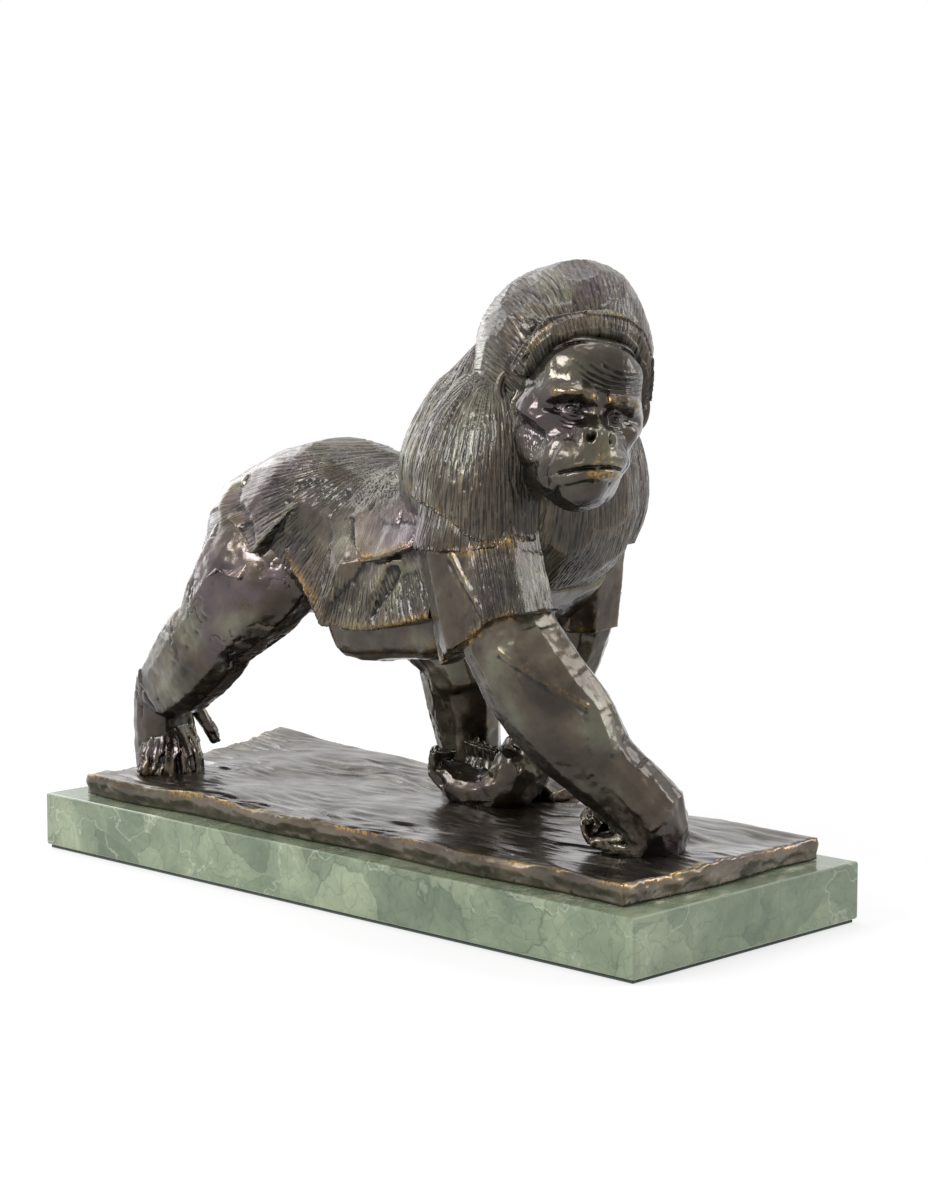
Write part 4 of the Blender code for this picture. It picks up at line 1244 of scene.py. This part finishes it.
def fill_left_leg(bm):
    limb_into(bm, eased_stations(LEFT_THIGH), count=12)
    limb_into(bm, eased_stations(LEFT_CALF), count=12)
    limb_into(bm, eased_stations(LEFT_FOOT), count=14)
    for i in range(4):
        y = 38.5 + i * 4.9
        toe = [(20, y, 39, 3, 4), (30 - i * 1.5, y, 39.5, 3, 3.4), (37 - i * 2, y, 37, 2.8, 3)]
        limb_into(bm, toe, (0, 1, 0), 10)


def fill_right_sleeve(bm):
    limb_into(bm, eased_stations(RIGHT_SLEEVE), count=8, ends=0)
    slab_into(bm, SLEEVE_PLANE, (3, 15, 4))


def fill_left_sleeve(bm):
    limb_into(bm, eased_stations(LEFT_SLEEVE), count=8, ends=0)


def sleeve_comb(p):
    """Upright strokes on the front of the sleeve."""
    return p @ (1, 1, 0.25), -p[:, 2], ease(p @ (1, 0.6, 0), 42, 54)


def work_right_arm(limb):
    # The edge of the hair on the forearm, and two long ridges down to the fist
    limb.ridge([
        (95, -56, 115), (102, -55, 111), (107, -52, 108), (113, -50, 104), (121, -42, 97), (124, -39, 95),
    ], 1.4, 1.1)
    limb.ridge([
        (108, -36, 120), (118, -30, 105), (130, -25, 88), (140, -20, 69), (146, -14, 56),
    ], 2.0, 0.6)
    limb.ridge([(122, -44, 94), (126, -38, 80), (131, -33, 66), (139, -27, 53)], 1.6, 0.6)


def work_leg(limb):
    limb.crackle(7.5, 0.45, 15)


def work_right_leg(limb):
    # Folds of skin across the calf
    for x, z in ((-103, 108), (-110, 101), (-118, 94), (-127, 86)):
        fold = [(x - 10, -46, z - 13), (x, -50, z - 2), (x + 12, -48, z + 6), (x + 18, -40, z + 3)]
        limb.ridge(fold, 1.7, 0.75)
    work_leg(limb)


def work_right_sleeve(limb):
    limb.trim(SLEEVE_EDGE, limb.p[:, 0], 0.3, 2.2, 6)
    limb.ridge([(69, -57, 150), (76, -58, 143), (85, -59, 134), (91, -60, 128)], 1.5, 0.8)
    across, along, strength = sleeve_comb(limb.p)
    limb.comb(across, along, 1.6, 0.34, strength, 9, 31)


# Name, filling, size of its knife cuts, how dark it is, its own work and its comb
LIMBS = [
    ("gorilla_right_arm", fill_right_arm, 16, 0.22, work_right_arm, None),
    # The left arm lies in shadow behind the right one, and its darkness is partly painted shade
    ("gorilla_left_arm", fill_left_arm, 13, 0.35, None, None),
    ("gorilla_right_leg", fill_right_leg, 13, 0.0, work_right_leg, None),
    ("gorilla_left_leg", fill_left_leg, 14, 0.2, work_leg, None),
    ("gorilla_right_sleeve", fill_right_sleeve, 16, 0.1, work_right_sleeve, sleeve_comb),
    ("gorilla_left_sleeve", fill_left_sleeve, 16, 0.0, None, None),
]


def build_limbs():
    for name, fill, size, dark, work, comb in LIMBS:
        limb = Wax(name, fill, 0.6, 2)
        limb.cut_planes(size, 0.7, 5)
        if work:
            work(limb)
        limb.push(0.28 * rough(limb.p / 5, 3, 9) + 0.06 * ripple(limb.p / 1.4, 91))
        limb.finish(comb, dark=dark)


# Ground plate

def plate_top(x, y):
    """The height of the uneven ground, with its back corner drawn up."""
    along = (x - PLATE_OFFSET[0]) / (PLATE_LENGTH / 2)
    over = (y - PLATE_OFFSET[1]) / (PLATE_WIDTH / 2)
    wave = np.sin(x * 0.041 + 1.3) * np.cos(y * 0.083 + 0.4) + 0.5 * np.sin(x * 0.093 - y * 0.05)
    near_corner = np.maximum(0.0, 1 - np.hypot(along + 1, over - 1) / 1.1)
    return GROUND - 0.6 + 0.675 * wave + 6.5 * near_corner**1.5


def build_plate():
    columns, rows, steps = 440, 165, 9
    lengthwise, crosswise = np.linspace(0, 1, columns + 1), np.linspace(0, 1, rows + 1)
    share_x, share_y = np.meshgrid(lengthwise, crosswise, indexing="ij")
    x = PLATE_OFFSET[0] + (share_x - 0.5) * PLATE_LENGTH
    near = PLATE_OFFSET[1] - PLATE_WIDTH / 2 + 1.2 * np.sin(x * 0.06)
    far = PLATE_OFFSET[1] + PLATE_WIDTH / 2 - 1.5 * np.sin(x * 0.045 + 1)
    y = near + (far - near) * share_y
    x = x + 1.5 * np.sin(y * 0.07 + 2) * (2 * share_x - 1)
    z = plate_top(x, y)
    # Mud that has run along the plate: streaks about 4 mm apart that wander and come and go
    spot = np.stack([x.ravel(), y.ravel()], 1)
    wander = 7 * ripple(spot / (46, 30), 33) + 2.2 * ripple(spot / (13, 10), 34)
    streaks = rough(np.stack([spot[:, 0] / 24, (spot[:, 1] + wander) / 4.2], 1), 3, 31)
    force = 0.35 + 0.65 * ease(ripple(spot / (38, 22), 35), -0.4, 0.5)
    z += (0.8 * streaks * force + 0.35 * ripple(spot / 16, 36)).reshape(x.shape)
    points = np.stack([x, y, z], -1)
    index = np.arange((columns + 1) * (rows + 1)).reshape(columns + 1, rows + 1)
    rim = np.concatenate([index[:, 0], index[-1, 1:], index[-2::-1, -1], index[0, -2:0:-1]])
    top = points.reshape(-1, 3)
    verts = [top]
    corners = [index[:-1, :-1], index[1:, :-1], index[1:, 1:], index[:-1, 1:]]
    quads = np.stack(corners, -1).reshape(-1, 4).tolist()
    edge = top[rim]
    outward = np.zeros((len(rim), 3))
    ends = np.cumsum([0, columns + 1, rows, columns, rows - 1])
    for start, stop, way in zip(ends, ends[1:], ((0, -1, 0), (1, 0, 0), (0, 1, 0), (-1, 0, 0))):
        outward[start:stop] = way
    for _ in range(4):
        outward = (outward + np.roll(outward, 1, 0) + np.roll(outward, -1, 0)) / 3
    previous = rim
    made = len(top)
    for step in range(1, steps + 1):
        share = step / steps
        height = edge[:, 2] + (PLATE_BOTTOM - edge[:, 2]) * share
        lump = rough(np.stack([edge[:, 0] / 9, edge[:, 1] / 9, height / 4], 1), 3, 17)
        out = 0.7 * math.sin(math.pi * min(1, share * 1.4)) + 0.9 * lump * math.sin(math.pi * share)
        ring = np.stack([edge[:, 0], edge[:, 1], height], 1) + outward * np.atleast_1d(out)[:, None]
        verts.append(ring)
        current = np.arange(made, made + len(ring))
        quads += np.stack([previous, current, np.roll(current, -1), np.roll(previous, -1)], -1).tolist()
        previous = current
        made += len(ring)
    mesh = bpy.data.meshes.new("gorilla_ground")
    mesh.from_pydata((np.concatenate(verts) * MM).tolist(), [], quads + [previous[::-1].tolist()])
    bm = bmesh.new()
    bm.from_mesh(mesh)
    bmesh.ops.recalc_face_normals(bm, faces=bm.faces)
    bm.to_mesh(mesh)
    bm.free()
    obj = bpy.data.objects.new("gorilla_ground", mesh)
    bpy.context.scene.collection.objects.link(obj)
    plate = Wax.__new__(Wax)
    plate.obj = obj
    plate.read()
    plate.thin()
    x, y, z = plate.p.T
    from_end = PLATE_LENGTH / 2 - np.abs(x - PLATE_OFFSET[0])
    inside = np.minimum(from_end, PLATE_WIDTH / 2 - np.abs(y - PLATE_OFFSET[1]))
    below = plate_top(x, y) - z
    # The rim is rubbed here and there, and the side below it is a paler earth
    rim_wear = 0.8 * np.exp(-(((inside - 0.6) / 1.3) ** 2)) * (1 - ease(below, 0.8, 2.4))
    rim_wear *= ease(ripple(plate.p / 7, 5), -0.5, 0.5)
    side = 0.9 * ease(below, 1.0, 2.6) * (1 - ease(inside, 1.5, 3))
    plate.finish(tone=side, rubbed=rim_wear, dark=0.25)


# Stage

CAMERA = (0.84119, -0.84428, 0.26882)
CAMERA_AZIMUTH = 44.163
CAMERA_PITCH = 7.042
LENS = 85.37


def set_camera():
    data = bpy.data.cameras.new("camera")
    data.lens = LENS
    data.sensor_width = 36.0
    data.clip_start = 0.01
    camera = bpy.data.objects.new("camera", data)
    bpy.context.scene.collection.objects.link(camera)
    a, e = math.radians(CAMERA_AZIMUTH), math.radians(CAMERA_PITCH)
    ahead = Vector((-math.sin(a) * math.cos(e), math.cos(a) * math.cos(e), -math.sin(e)))
    right = Vector((math.cos(a), math.sin(a), 0))
    turned = Matrix((right, right.cross(ahead), -ahead)).transposed().to_4x4()
    camera.matrix_world = Matrix.Translation(CAMERA) @ turned
    bpy.context.scene.camera = camera


def soft_light(name, place, size, power):
    data = bpy.data.lights.new(name, "AREA")
    data.shape = "RECTANGLE"
    data.size, data.size_y = size
    data.energy = power
    lamp = bpy.data.objects.new(name, data)
    bpy.context.scene.collection.objects.link(lamp)
    lamp.location = place
    aim = Vector((0.02, 0, 0.12)) - Vector(place)
    lamp.rotation_euler = aim.to_track_quat("-Z", "Y").to_euler()


def rays_to_backdrop(tree):
    """1 for what the camera, a reflection or a view through glass sees."""
    path = node(tree, "ShaderNodeLightPath", out=None)
    most = {"operation": "MAXIMUM"}
    seen = node(tree, MATHS, most, i0=path["Is Camera Ray"], i1=path["Is Glossy Ray"])
    return node(tree, MATHS, most, i0=seen, i1=path["Is Transmission Ray"])


def set_stage():
    world = bpy.data.worlds.new("studio")
    bpy.context.scene.world = world
    world.use_nodes = True
    tree = world.node_tree
    tree.nodes.clear()
    bright = node(tree, "ShaderNodeBackground", Color="#ffffff", Strength=1.0)
    dim = node(tree, "ShaderNodeBackground", Color="#ffffff", Strength=0.45)
    both = node(tree, "ShaderNodeMixShader", i0=rays_to_backdrop(tree), i1=dim, i2=bright)
    node(tree, "ShaderNodeOutputWorld", out=None, Surface=both)
    mesh = bpy.data.meshes.new("floor")
    bm = bmesh.new()
    bmesh.ops.create_circle(bm, cap_ends=True, segments=96, radius=6.0)
    bm.to_mesh(mesh)
    bm.free()
    floor = bpy.data.objects.new("floor", mesh)
    bpy.context.scene.collection.objects.link(floor)
    floor.location.z = -0.0002
    material, tree, shader = fresh("white_paper")
    shader.inputs["Base Color"].default_value = linear("#f2f2f2")
    shader.inputs["Roughness"].default_value = 0.9
    glow = node(tree, "ShaderNodeEmission", Color="#ffffff", Strength=1.0)
    # The paper keeps the shadow near the object and runs out to plain white
    place = node(tree, "ShaderNodeTexCoord", out="Object")
    away = node(tree, "ShaderNodeVectorMath", {"operation": "LENGTH"}, "Value", i0=place)
    share = node(tree, LEVEL, EASED, Value=away, From_Min=0.2, From_Max=0.75, To_Min=0.7, To_Max=1.0)
    glowing = node(tree, MATHS, TIMES, i0=rays_to_backdrop(tree), i1=share)
    mixed = node(tree, "ShaderNodeMixShader", i0=glowing, i1=shader.outputs[0], i2=glow)
    tree.links.new(mixed, tree.nodes["Material Output"].inputs["Surface"])
    mesh.materials.append(material)
    soft_light("key", (-0.3, -1.0, 0.8), (0.55, 0.45), 11.0)
    soft_light("fill", (0.75, 0.75, 0.6), (0.5, 0.6), 5.0)
    soft_light("side", (-1.0, 0.1, 0.5), (0.8, 0.8), 4.5)
    soft_light("top", (-0.1, 0.2, 1.3), (0.7, 0.7), 6.0)
    bpy.context.scene.view_settings.view_transform = "Standard"


def dress(node_name, material):
    obj = bpy.data.objects[node_name]
    obj.data.materials.clear()
    obj.data.materials.append(material)


set_camera()
set_stage()
build_face()
build_hood()
build_shoulders()
build_trunk()
build_limbs()
build_plate()
dress("marble_plinth", green_marble())
dress("felt_pad", needle_felt())
STEEL = zinc_plated_steel()
for fastener in ("mounting_screw_front", "mounting_screw_rear", "washer_front", "washer_rear"):
    dress(fastener, STEEL)
